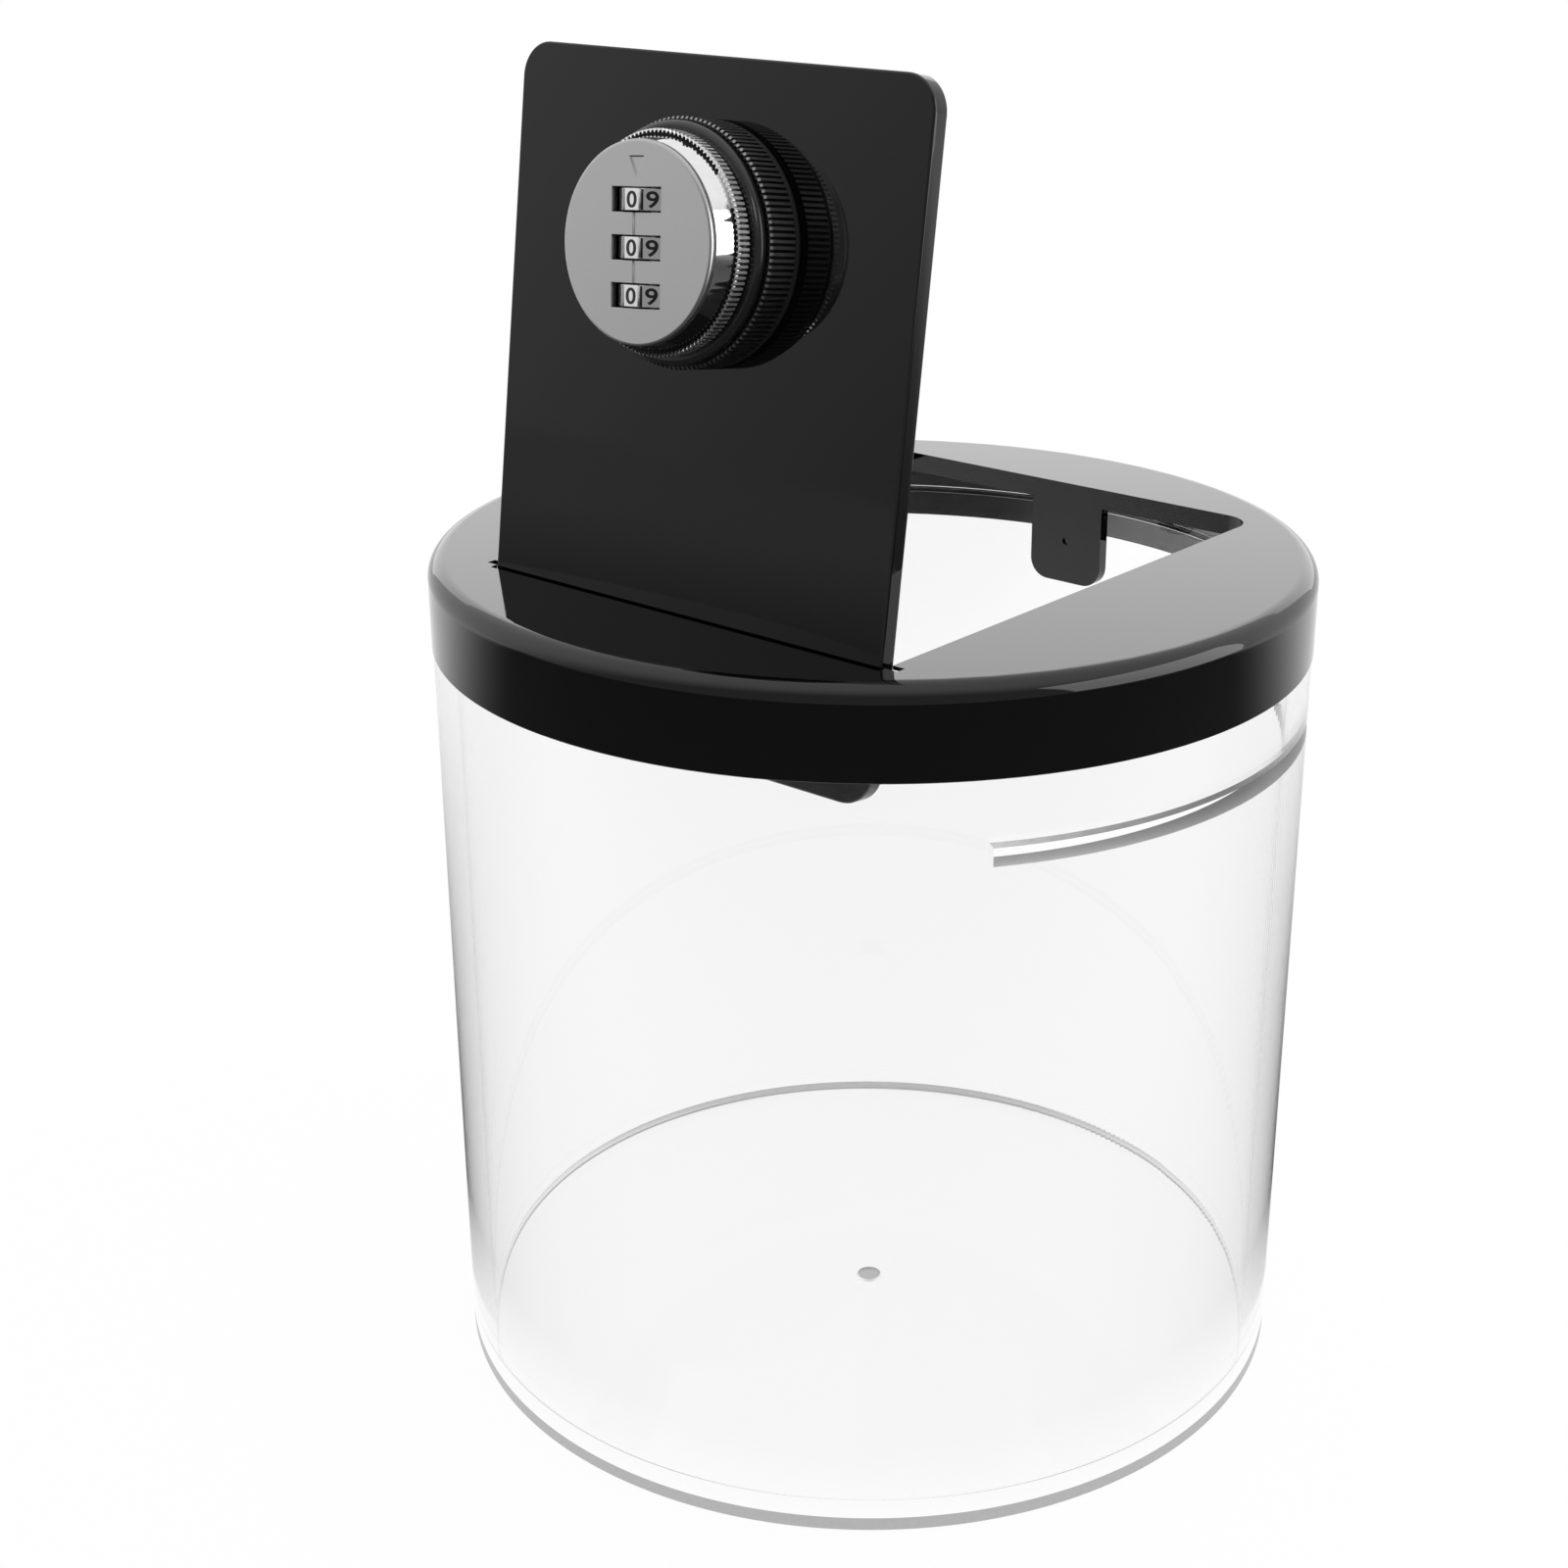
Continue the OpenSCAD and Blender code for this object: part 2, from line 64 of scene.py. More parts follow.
# %% Frames of the flap and the lock
joints = {joint["name"]: joint for joint in frame["joints"]}
across = Vector(joints["flap_tilt"]["axis"])
outward = Vector(joints["knob_turn"]["axis"])
along = outward.cross(across)
knob_up = Vector(joints["dial_1_turn"]["axis"])


def frame_at(point, up):
    """A frame with Y along a direction in the flap's front and Z out of it."""
    turned_axes = Matrix((up.cross(outward), up, outward)).transposed().to_4x4()
    return Matrix.Translation(Vector(point)) @ turned_axes


HERE = Matrix.Identity(4)
FLAP = frame_at(joints["flap_tilt"]["pos_m"], along)
LOCK = frame_at(joints["knob_turn"]["pos_m"], along)
KNOB = frame_at(joints["knob_turn"]["pos_m"], knob_up)
lock_x, lock_y = (FLAP.inverted() @ LOCK.translation / MM).xy
axle_z = (LOCK.inverted() @ Vector(joints["dial_1_turn"]["pos_m"])).z / MM
print("lock is", round(lock_x, 2), round(lock_y, 2), "mm from the hinge")
print("wheels are", round(axle_z, 2), "mm off the flap")

# %% [markdown]
# A camera is a place, a direction and a lens. These come from fitting the lid's rim, the jar's foot and the
# opening's straight edges in the photograph. The photograph was cropped off centre, and the lens shift
# repeats that.

# %% Camera
IMAGE_SIDE = 1600
FOCAL_PIXELS = 2483.4
AXIS_PIXEL = (900.3, 793.5)
CAMERA_PLACE = Vector((233.46, -291.41, 243.82)) * MM
CAMERA_TURN = math.radians(38.447)
CAMERA_TILT = math.radians(90 - 21.540)
CAMERA_ROLL = math.radians(0.473)

camera_data = bpy.data.cameras.new("camera")
camera = bpy.data.objects.new("camera", camera_data)
bpy.context.scene.collection.objects.link(camera)
camera_data.lens = FOCAL_PIXELS / IMAGE_SIDE * camera_data.sensor_width
camera_data.shift_x = (IMAGE_SIDE / 2 - AXIS_PIXEL[0]) / IMAGE_SIDE
camera_data.shift_y = (AXIS_PIXEL[1] - IMAGE_SIDE / 2) / IMAGE_SIDE
camera.matrix_world = (
    Matrix.Translation(CAMERA_PLACE)
    @ Matrix.Rotation(CAMERA_TURN, 4, "Z")
    @ Matrix.Rotation(CAMERA_TILT, 4, "X")
    @ Matrix.Rotation(CAMERA_ROLL, 4, "Z")
)
bpy.context.scene.camera = camera
bpy.context.scene.view_settings.view_transform = "Standard"
print("lens", round(camera_data.lens, 2), "mm")

# %% [markdown]
# Every finish is a small network of nodes. One function adds a node: plain values go to its settings or
# sockets, and another node's output is linked. Colours are written as sRGB hex, the way a paint card or a
# picture editor shows them, and turned to the linear values that the renderer adds up.

# %% Node helper and colours


def linear(hex_colour):
    """An sRGB hex colour as linear RGBA."""
    channels = [int(hex_colour[i : i + 2], 16) / 255 for i in (1, 3, 5)]
    return [c / 12.92 if c <= 0.04045 else ((c + 0.055) / 1.055) ** 2.4 for c in channels] + [1.0]


def add(tree, kind, sockets=None, **settings):
    """Adds a node. Settings are its own options, sockets are values or the outputs to link."""
    node = tree.nodes.new(kind)
    for name, value in settings.items():
        setattr(node, name, value)
    for name, value in (sockets or {}).items():
        if isinstance(value, bpy.types.NodeSocket):
            tree.links.new(value, node.inputs[name])
        else:
            node.inputs[name].default_value = value
    return node


print("black plastic's colour in linear light:", [round(c, 4) for c in linear("#09090a")])

# %% [markdown]
# A finish starts with a surface shader. Most of the finishes here then do the same three things: two tones,
# the gloss and a shallow bump all follow one noise, whose grain is given in millimetres.

# %% Finish helpers


def finish_named(name, **sockets):
    """A new material with a surface shader, and its tree, shader and Object coordinates."""
    material = bpy.data.materials.new(name)
    material.use_nodes = True
    tree = material.node_tree
    tree.nodes.clear()
    shader = add(tree, "ShaderNodeBsdfPrincipled", {k.replace("_", " "): v for k, v in sockets.items()})
    add(tree, "ShaderNodeOutputMaterial", {"Surface": shader.outputs["BSDF"]})
    coords = add(tree, "ShaderNodeTexCoord").outputs["Object"]
    return material, tree, shader, coords


def finish(name, tones, grain, detail, gloss, bump=None, **sockets):
    """A finish whose tones, gloss range and bump, as (strength, depth), follow one grain in mm."""
    material, tree, shader, coords = finish_named(name, **sockets)
    pattern = {"Vector": coords, "Scale": 1 / (grain * MM), "Detail": detail}
    grains = add(tree, "ShaderNodeTexNoise", pattern).outputs["Fac"]
    mix = {"Factor": grains, "A": linear(tones[0]), "B": linear(tones[1])}
    colour = add(tree, "ShaderNodeMix", mix, data_type="RGBA")
    tree.links.new(colour.outputs["Result"], shader.inputs["Base Color"])
    dulling = add(tree, "ShaderNodeMapRange", {"Value": grains, "To Min": gloss[0], "To Max": gloss[1]})
    tree.links.new(dulling.outputs["Result"], shader.inputs["Roughness"])
    if bump:
        depth = {"Height": grains, "Strength": bump[0], "Distance": bump[1] * MM}
        tree.links.new(add(tree, "ShaderNodeBump", depth).outputs["Normal"], shader.inputs["Normal"])
    return material


print("finishes take their size from MM =", MM)

# %% [markdown]
# The studio is white behind the object and dark behind the camera. That is what makes black gloss readable:
# the lid's top mirrors the bright backdrop, and the flap's front mirrors the dark side of the room. So the
# world gets brighter towards a direction above the backdrop. Seen directly or through the clear jar it is
# plain white, and mirror images keep a share of that white where the room is darkest.

# %% World
BACKDROP = Vector((-math.sin(CAMERA_TURN), math.cos(CAMERA_TURN), 0.0))
WORLD_RISE = math.radians(40)
DARK_AT, WHITE_AT = -0.55, 0.45
FRONT_LIGHT = 0.1
MIRROR_LIGHT = 0.3

world = bpy.data.worlds.new("white_studio")
bpy.context.scene.world = world
world.use_nodes = True
tree = world.node_tree
tree.nodes.clear()
brightest = BACKDROP * math.cos(WORLD_RISE) + Vector((0, 0, math.sin(WORLD_RISE)))
direction = add(tree, "ShaderNodeTexCoord").outputs["Generated"]
facing = add(tree, "ShaderNodeVectorMath", {0: direction, 1: brightest}, operation="DOT_PRODUCT")
brightness = {
    "Value": facing.outputs["Value"],
    "From Min": DARK_AT,
    "From Max": WHITE_AT,
    "To Min": FRONT_LIGHT,
    "To Max": 1.0,
}
room = add(tree, "ShaderNodeMapRange", brightness, interpolation_type="SMOOTHSTEP")
path = add(tree, "ShaderNodeLightPath").outputs
direct = {0: path["Is Camera Ray"], 1: path["Is Transmission Ray"]}
seen = add(tree, "ShaderNodeMath", direct, operation="MAXIMUM")
mirrors = {0: path["Is Glossy Ray"], 1: MIRROR_LIGHT, 2: seen.outputs["Value"]}
shown = add(tree, "ShaderNodeMath", mirrors, operation="MULTIPLY_ADD", use_clamp=True)
brighter = {0: room.outputs["Result"], 1: shown.outputs["Value"]}
level = add(tree, "ShaderNodeMath", brighter, operation="MAXIMUM")
sky = add(tree, "ShaderNodeBackground", {"Color": linear("#ffffff"), "Strength": level.outputs["Value"]})
add(tree, "ShaderNodeOutputWorld", {"Surface": sky.outputs["Background"]})
print("world: white behind,", FRONT_LIGHT, "in front")

# %% [markdown]
# Softboxes are area lamps. One stands behind the object for the lid's top, one at the right for the polished
# knob and three small ones are for the lock. They show in reflections, and the camera doesn't see them.
# Light linking keeps the three off the black gloss, where they would show as white patches.

# %% Softboxes
LAMP_AIM = Vector((0.0, 0.0, 130.0)) * MM


def softbox(name, place, width, height, power):
    """An area lamp at a place in mm, aimed at the lid."""
    lamp = bpy.data.lights.new(name, "AREA")
    lamp.shape = "RECTANGLE"
    lamp.size = width * MM
    lamp.size_y = height * MM
    lamp.energy = power
    stand = bpy.data.objects.new(name, lamp)
    bpy.context.scene.collection.objects.link(stand)
    stand.location = Vector(place) * MM
    stand.rotation_euler = (LAMP_AIM - stand.location).to_track_quat("-Z", "Y").to_euler()
    stand.visible_camera = False
    stand.visible_transmission = False
    radiance = power / (math.pi * lamp.size * lamp.size_y)
    print(name, "radiance", round(radiance, 2))
    return stand


def light_only(lamp, *pieces):
    """Lets a lamp light these pieces and nothing else."""
    lit = bpy.data.collections.new(lamp.name + "_lights")
    for piece in pieces:
        lit.objects.link(piece)
    lamp.light_linking.receiver_collection = lit
    print(lamp.name, "lights", len(pieces), "pieces")


softbox("back_softbox", (-560, 760, 420), 1500, 560, 2.2)
softbox("right_softbox", (623, 238, 335), 700, 480, 2.0)
key_lamp = softbox("key_softbox", (-407, -482, 219), 420, 420, 0.17)
front_lamp = softbox("front_softbox", (257, -704, 571), 160, 160, 0.5)
side_lamp = softbox("side_softbox", (500, -110, 215), 250, 560, 1.1)

# %% [markdown]
# The floor is a white sweep. It is mostly its own white, so that it matches the background, and the lit
# share, which fades out away from the object, keeps the shadow. In reflections its near side is dark, like a
# room behind a camera, and far away it is a mid grey. Through the jar that dark begins further forward, and
# under the jar there is none. The floor lies a hair above the jar's underside, so no air gap shows.

# %% Floor
FLOOR_SIDE = 6000
PAPER_FIBRE = 2.0
PAPER_TONES = ("#f4f4f4", "#fbfbfb")
FLOOR_Z = 0.02
GLOW_NEAR = 0.97
SHADOW_FADE = (250, 600)
ROOM_EDGE = (20, 320)
ROOM_DARK = 0.08
THROUGH_JAR = 340
UNDER_JAR = (72, 90)
FAR_FLOOR = (500, 2500)
FAR_LEVEL = 0.4

bpy.ops.object.select_all(action="DESELECT")
bpy.ops.mesh.primitive_plane_add(size=FLOOR_SIDE * MM, location=(0, 0, FLOOR_Z * MM))
floor = bpy.context.object
floor.name = "floor"
floor_paint = bpy.data.materials.new("matt_white_sweep")
floor_paint.use_nodes = True
tree = floor_paint.node_tree
tree.nodes.clear()
coords = add(tree, "ShaderNodeTexCoord").outputs["Object"]
fibre = add(tree, "ShaderNodeTexNoise", {"Vector": coords, "Scale": 1 / (PAPER_FIBRE * MM), "Detail": 3.0})
mix = {"Factor": fibre.outputs["Fac"], "A": linear(PAPER_TONES[0]), "B": linear(PAPER_TONES[1])}
paper = add(tree, "ShaderNodeMix", mix, data_type="RGBA")
matt = add(tree, "ShaderNodeBsdfDiffuse", {"Color": paper.outputs["Result"]})
path = add(tree, "ShaderNodeLightPath").outputs
depth = add(tree, "ShaderNodeVectorMath", {0: coords, 1: BACKDROP}, operation="DOT_PRODUCT")
away = add(tree, "ShaderNodeVectorMath", {0: coords}, operation="LENGTH").outputs["Value"]
further = {0: path["Is Transmission Ray"], 1: THROUGH_JAR * MM, 2: depth.outputs["Value"]}
shifted = add(tree, "ShaderNodeMath", further, operation="MULTIPLY_ADD").outputs["Value"]
ramps = {}
for name, value, (near, far), (start, end), kind in (
    ("mirrored", shifted, ROOM_EDGE, (ROOM_DARK, 1.0), "SMOOTHSTEP"),
    ("distant", away, FAR_FLOOR, (ROOM_DARK, FAR_LEVEL), "SMOOTHSTEP"),
    ("under_jar", away, UNDER_JAR, (1.0, ROOM_DARK), "LINEAR"),
    ("glow_share", away, SHADOW_FADE, (GLOW_NEAR, 1.0), "LINEAR"),
):
    ends = {"From Min": near * MM, "From Max": far * MM, "To Min": start, "To Max": end}
    ramp = add(tree, "ShaderNodeMapRange", {"Value": value, **ends}, interpolation_type=kind)
    ramps[name] = ramp.outputs["Result"]
glow_level = viewed = path["Is Camera Ray"]
for other in (ramps["mirrored"], ramps["under_jar"], ramps["distant"]):
    glow_level = add(tree, "ShaderNodeMath", {0: glow_level, 1: other}, operation="MAXIMUM").outputs["Value"]
for other in (path["Is Transmission Ray"], path["Is Glossy Ray"]):
    viewed = add(tree, "ShaderNodeMath", {0: viewed, 1: other}, operation="MAXIMUM").outputs["Value"]
glow = add(tree, "ShaderNodeEmission", {"Color": linear("#ffffff"), "Strength": glow_level})
part_glow = {0: viewed, 1: ramps["glow_share"]}
share = add(tree, "ShaderNodeMath", part_glow, operation="MULTIPLY").outputs["Value"]
sweep = add(tree, "ShaderNodeMixShader", {0: share, 1: matt.outputs["BSDF"], 2: glow.outputs["Emission"]})
add(tree, "ShaderNodeOutputMaterial", {"Surface": sweep.outputs["Shader"]})
floor.data.materials.append(floor_paint)
print("floor", FLOOR_SIDE, "mm square")

# %% [markdown]
# The jar is clear polystyrene, polished in its mould: it bends light like glass and has almost no colour.
# What the eye gets is grey along the edges, where the wall is looked at end on and the light has gone a long
# way through the plastic. A little absorption inside it does that. Faint handling smears change its gloss.
# Where the plastic was sawn, at the foot's edge and the slot's upper side, it is rough and still lets light
# through, and its dark grey is painted shade. The slot's lower side is a paler, closed grey, painted as the
# light falling on it.

# %% Clear moulded polystyrene
POLYSTYRENE_IOR = 1.57
SMEAR, SMEAR_SPAN, SMEAR_GLOSS = 18.0, (0.45, 0.75), (0.0, 0.03)
SAW_GRAIN, SAW_DETAIL, SAW_GLOSS = 0.9, 5.0, (0.25, 0.4)
GREYING = 1.0


def clear_polystyrene():
    """A clear plastic with smears and absorption."""
    material, tree, shader, coords = finish_named(
        "clear_moulded_polystyrene",
        Transmission_Weight=1.0,
        IOR=POLYSTYRENE_IOR,
        Base_Color=linear("#ffffff"),
    )
    smear = add(tree, "ShaderNodeTexNoise", {"Vector": coords, "Scale": 1 / (SMEAR * MM), "Detail": 4.0})
    (faint, strong), (clean, dull) = SMEAR_SPAN, SMEAR_GLOSS
    ends = {"From Min": faint, "From Max": strong, "To Min": clean, "To Max": dull}
    gloss = add(tree, "ShaderNodeMapRange", {"Value": smear.outputs["Fac"], **ends})
    tree.links.new(gloss.outputs["Result"], shader.inputs["Roughness"])
    inside = add(tree, "ShaderNodeVolumeAbsorption", {"Color": linear("#000000"), "Density": GREYING})
    output = next(node for node in tree.nodes if node.type == "OUTPUT_MATERIAL")
    tree.links.new(inside.outputs["Volume"], output.inputs["Volume"])
    return material


def cut_polystyrene(name, tones, clear):
    """A cut face: two greys, and the share of light that still goes through."""
    return finish(
        name, tones, SAW_GRAIN, SAW_DETAIL, SAW_GLOSS, IOR=POLYSTYRENE_IOR, Transmission_Weight=clear
    )


CLEAR = clear_polystyrene()
# Painted shade: the grey of the sawn faces darkens the foot's edge, the gate mark and the slot's upper side.
SAWN_WITH_SHADE = cut_polystyrene("sawn_polystyrene_edge", ("#707070", "#828282"), 1.0)
# Painted light: the slot's lower side gets a paler, closed grey, as the light falling on it.
LIT_SLOT_SIDE = cut_polystyrene("milled_polystyrene_slot", ("#c0c0c0", "#d2d2d2"), 0.0)
print("made", CLEAR.name, SAWN_WITH_SHADE.name, LIT_SLOT_SIDE.name)

# %% [markdown]
# The lid and the flap are black ABS from a polished mould. Such gloss black is nearly a mirror at a low
# angle, with a very slight waviness where the plastic cooled, and dust and fine scratches that dull it in
# places.

# %% High-gloss black ABS
ABS_TONES = ("#050506", "#09090a")
SINK_WAVE, SINK_STRENGTH, SINK_DEEP = 22.0, 0.06, 0.05
DUST, DUST_SPAN, DUST_GLOSS = 1.6, (0.4, 0.8), (0.03, 0.1)


def gloss_black_abs():
    """A black gloss plastic with sink waves and dust."""
    material, tree, shader, coords = finish_named("high_gloss_black_abs", IOR=1.54)
    wave = add(tree, "ShaderNodeTexNoise", {"Vector": coords, "Scale": 1 / (SINK_WAVE * MM), "Detail": 2.0})
    mix = {"Factor": wave.outputs["Fac"], "A": linear(ABS_TONES[0]), "B": linear(ABS_TONES[1])}
    colour = add(tree, "ShaderNodeMix", mix, data_type="RGBA")
    tree.links.new(colour.outputs["Result"], shader.inputs["Base Color"])
    dust = add(tree, "ShaderNodeTexNoise", {"Vector": coords, "Scale": 1 / (DUST * MM), "Detail": 6.0})
    (faint, strong), (clean, dull) = DUST_SPAN, DUST_GLOSS
    ends = {"From Min": faint, "From Max": strong, "To Min": clean, "To Max": dull}
    gloss = add(tree, "ShaderNodeMapRange", {"Value": dust.outputs["Fac"], **ends})
    tree.links.new(gloss.outputs["Result"], shader.inputs["Roughness"])
    depth = {"Height": wave.outputs["Fac"], "Strength": SINK_STRENGTH, "Distance": SINK_DEEP * MM}
    tree.links.new(add(tree, "ShaderNodeBump", depth).outputs["Normal"], shader.inputs["Normal"])
    return material


BLACK_ABS = gloss_black_abs()
print("made", BLACK_ABS.name)

# %% [markdown]
# The lock's parts are zinc castings. The collar is sprayed with black lacquer, the knob has bright chrome
# plate, and its face is blasted before plating, which gives a satin grey. Chrome over a casting keeps a
# slight orange peel.

# %% Lock finishes
LACQUER_PEEL, LACQUER_BUMP = 0.8, (0.05, 0.02)
CHROME_PEEL = 1.2
BLAST_GRAIN = 0.25
PLATE_BUMP = 0.3


def plated(name, dark, light, grain, gloss, depth):
    """A metal finish: two tones, a grain in mm, a gloss range, and the depth of its bump in mm."""
    return finish(name, (dark, light), grain, 4.0, gloss, (PLATE_BUMP, depth), Metallic=1.0)


LACQUER_TONES, LACQUER_GLOSS = ("#0a0a0b", "#171718"), (0.2, 0.27)
LACQUER_LOOK = (LACQUER_TONES, LACQUER_PEEL, 3.0, LACQUER_GLOSS, LACQUER_BUMP)
LACQUER = finish("black_lacquered_zinc", *LACQUER_LOOK, IOR=1.5, Coat_Weight=0.3)
CHROME = plated("polished_chrome_plate", "#e0e0e1", "#efeff0", CHROME_PEEL, (0.05, 0.1), 0.02)
RIDGES = plated("rubbed_chrome_ridges", "#cacacb", "#dadadb", BLAST_GRAIN, (0.45, 0.6), 0.02)
SATIN = plated("satin_chrome_plate", "#b2b2b3", "#bebebf", BLAST_GRAIN, (0.3, 0.4), 0.01)
WHEEL = plated("nickel_plated_wheel", "#dededf", "#efeff0", BLAST_GRAIN, (0.18, 0.3), 0.01)
ZINC = plated("zinc_plated_steel", "#a9adb2", "#c6c9cb", 3.0, (0.25, 0.42), 0.01)
SPRING = plated("bare_spring_strip", "#a79f8c", "#bcb39c", 1.0, (0.25, 0.35), 0.01)
# Painted shade: this dark finish goes on the pockets' faces, as the shade that falls inside them.
POCKET_SHADE = plated("dark_zinc_casting", "#1a1a1b", "#2a2a2b", 0.6, (0.5, 0.7), 0.03)
# Painted highlight: this light metal on the black collar's crests stands in for the light the ridge tops
# catch.
CREST_HIGHLIGHT = plated("rubbed_black_lacquer", "#8a8a8b", "#a4a4a5", BLAST_GRAIN, (0.3, 0.45), 0.02)
print("made", [m.name for m in (LACQUER, CHROME, RIDGES, SATIN, WHEEL, ZINC, SPRING, POCKET_SHADE, CREST_HIGHLIGHT)])

# %% [markdown]
# Two dull blacks remain: the rubber of the gasket under the collar, and the paint in the digits, which also
# paints the shade in the wheels' grooves.

# %% Rubber and digit paint
RUBBER_GRAIN = 0.4
RUBBER = finish("black_nitrile_rubber", ("#0e0e0e", "#1a1a1a"), RUBBER_GRAIN, 5.0, (0.6, 0.8), IOR=1.5)
# Besides the digits' print, this black is the painted shade in the wheels' grooves.
DIGIT_PAINT_AND_GROOVE_SHADE = finish("black_digit_paint", ("#0a0a0a", "#141414"), RUBBER_GRAIN, 5.0, (0.3, 0.5), IOR=1.5)
print("made", RUBBER.name, DIGIT_PAINT_AND_GROOVE_SHADE.name)

# %% [markdown]
# Most pieces of this object are turned: a half section spun once round an axis. The section is drawn as by
# hand, from one vertex that is extruded from point to point, and the spin tool does the rest. Rounded
# corners are short arcs.

# %% Modelling helpers: turning
TURN_STEPS = 144
WELD = 0.0005
ARC_STEPS = 8


def arc(centre_r, centre_z, radius, start, end, steps=ARC_STEPS):
    """Points of an arc in a half section, in mm, between two angles in degrees."""
    angles = [math.radians(start + (end - start) * i / steps) for i in range(steps + 1)]
    return [(centre_r + radius * math.cos(a), centre_z + radius * math.sin(a)) for a in angles]


def draw(name, points):
    """Extrudes one vertex along points given in mm. The piece is left in edit mode."""
    bpy.ops.object.select_all(action="DESELECT")
    bpy.ops.mesh.primitive_plane_add(size=MM)
    piece = bpy.context.object
    piece.name = name
    bpy.ops.object.mode_set(mode="EDIT")
    bpy.ops.mesh.select_mode(type="VERT")
    bpy.ops.mesh.select_all(action="SELECT")
    bpy.ops.mesh.merge(type="CENTER")
    places = [Vector(p) * MM for p in points]
    bpy.ops.transform.translate(value=places[0])
    for before, after in zip(places, places[1:]):
        bpy.ops.mesh.extrude_vertices_move(TRANSFORM_OT_translate={"value": after - before})
    return piece


def close_mesh():
    """Merges doubles and turns the faces outwards, then leaves edit mode."""
    bpy.ops.mesh.select_all(action="SELECT")
    bpy.ops.mesh.remove_doubles(threshold=WELD * MM)
    bpy.ops.mesh.normals_make_consistent(inside=False)
    bpy.ops.object.mode_set(mode="OBJECT")


def turned(name, section, steps=TURN_STEPS):
    """A half section of (radius, height) points in mm, spun round Z and closed off the axis."""
    points = list(section)
    if points[0][0] > 0 or points[-1][0] > 0:
        points.append(points[0])
    piece = draw(name, [(r, 0, z) for r, z in points])
    bpy.ops.mesh.select_all(action="SELECT")
    bpy.ops.mesh.spin(steps=steps, angle=2 * math.pi, center=(0, 0, 0), axis=(0, 0, 1))
    close_mesh()
    return piece


def bar(name, radius, low, high, steps=TURN_STEPS):
    """A round bar along Z, between two heights in mm."""
    return turned(name, [(0, low), (radius, low), (radius, high), (0, high)], steps)


print("a turned piece has", TURN_STEPS, "steps")

# %% [markdown]
# The other pieces are plates and blocks: a plane whose corners are rounded by a vertex bevel and which is
# then extruded, or a box that cuts a slot. Parts of a mesh are picked by where they lie, as with a box
# selection.

# %% Modelling helpers: plates and boxes
CORNER_STEPS = 12
SIDEWAYS = Matrix(((0, 0, 1, 0), (1, 0, 0, 0), (0, 1, 0, 0), (0, 0, 0, 1)))


def activate(piece):
    """Makes one piece the only selected and active object."""
    bpy.ops.object.select_all(action="DESELECT")
    piece.select_set(True)
    bpy.context.view_layer.objects.active = piece


def pick(piece, kind, test):
    """In edit mode, selects the vertices, edges or faces whose middle, in mm, passes a test."""
    mesh = bmesh.from_edit_mesh(piece.data)
    for part in getattr(mesh, kind):
        middle = part.co if kind == "verts" else sum((v.co for v in part.verts), Vector()) / len(part.verts)
        part.select_set(bool(test(middle / MM)))
    mesh.select_flush_mode()
    bmesh.update_edit_mesh(piece.data)


def plate(name, low, high, corners):
    """A plate between two corners in mm. corners is a list of (test on a place, radius)."""
    bpy.ops.object.select_all(action="DESELECT")
    bpy.ops.mesh.primitive_plane_add(size=1)
    piece = bpy.context.object
    piece.name = name
    piece.scale = ((high[0] - low[0]) * MM, (high[1] - low[1]) * MM, 1)
    piece.location = ((low[0] + high[0]) / 2 * MM, (low[1] + high[1]) / 2 * MM, low[2] * MM)
    bpy.ops.object.transform_apply()
    bpy.ops.object.mode_set(mode="EDIT")
    bpy.ops.mesh.select_mode(type="VERT")
    for test, radius in corners:
        pick(piece, "verts", test)
        bpy.ops.mesh.bevel(offset=radius * MM, segments=CORNER_STEPS, affect="VERTICES")
    bpy.ops.mesh.select_all(action="SELECT")
    rise = (0, 0, (high[2] - low[2]) * MM)
    bpy.ops.mesh.extrude_region_move(TRANSFORM_OT_translate={"value": rise})
    close_mesh()
    return piece


def block(name, low, high):
    """A box between two corners in mm."""
    bpy.ops.object.select_all(action="DESELECT")
    centre = [(a + b) / 2 * MM for a, b in zip(low, high)]
    size = [(b - a) * MM for a, b in zip(low, high)]
    bpy.ops.mesh.primitive_cube_add(size=1, location=centre, scale=size)
    piece = bpy.context.object
    piece.name = name
    bpy.ops.object.transform_apply()
    return piece


def moved(piece, matrix):
    """Moves or turns a piece by a matrix and applies it."""
    activate(piece)
    piece.matrix_world = matrix @ piece.matrix_world
    bpy.ops.object.transform_apply()
    return piece


def prism(name, points, low, high):
    """A flat outline of (x, y) points in mm, closed and extruded between two heights."""
    piece = draw(name, [(x, y, low) for x, y in points])
    bpy.ops.mesh.select_all(action="SELECT")
    bpy.ops.mesh.edge_face_add()
    bpy.ops.mesh.select_all(action="SELECT")
    bpy.ops.mesh.extrude_region_move(TRANSFORM_OT_translate={"value": (0, 0, (high - low) * MM)})
    close_mesh()
    return piece


print("a rounded corner has", CORNER_STEPS, "steps")

# %% [markdown]
# A boolean modifier does the cutting and joining and is applied at once. A bevel then breaks the edges,
# because no real edge is perfectly sharp. A boolean leaves its faces in an order that changes from run to
# run, so the mesh is first sorted by its distance from a far point. Delivering a piece stands it in its
# place, smooths it, hangs it on its body and hides the CAD parts it replaces.

# %% Modelling helpers: cuts, edges and delivery
SAME_PLANE = 0.3
SORT_FROM = Vector((310.0, 170.0, 530.0)) * MM
SMOOTH_ANGLE = 42


def combine(piece, tool, operation="DIFFERENCE"):
    """Cuts, joins or trims a piece with a tool, which is then deleted."""
    activate(piece)
    bpy.ops.object.modifier_add(type="BOOLEAN")
    modifier = piece.modifiers[-1]
    modifier.operation = operation
    modifier.solver = "EXACT"
    modifier.object = tool
    bpy.ops.object.modifier_apply(modifier=modifier.name)
    bpy.data.objects.remove(tool)
    return piece


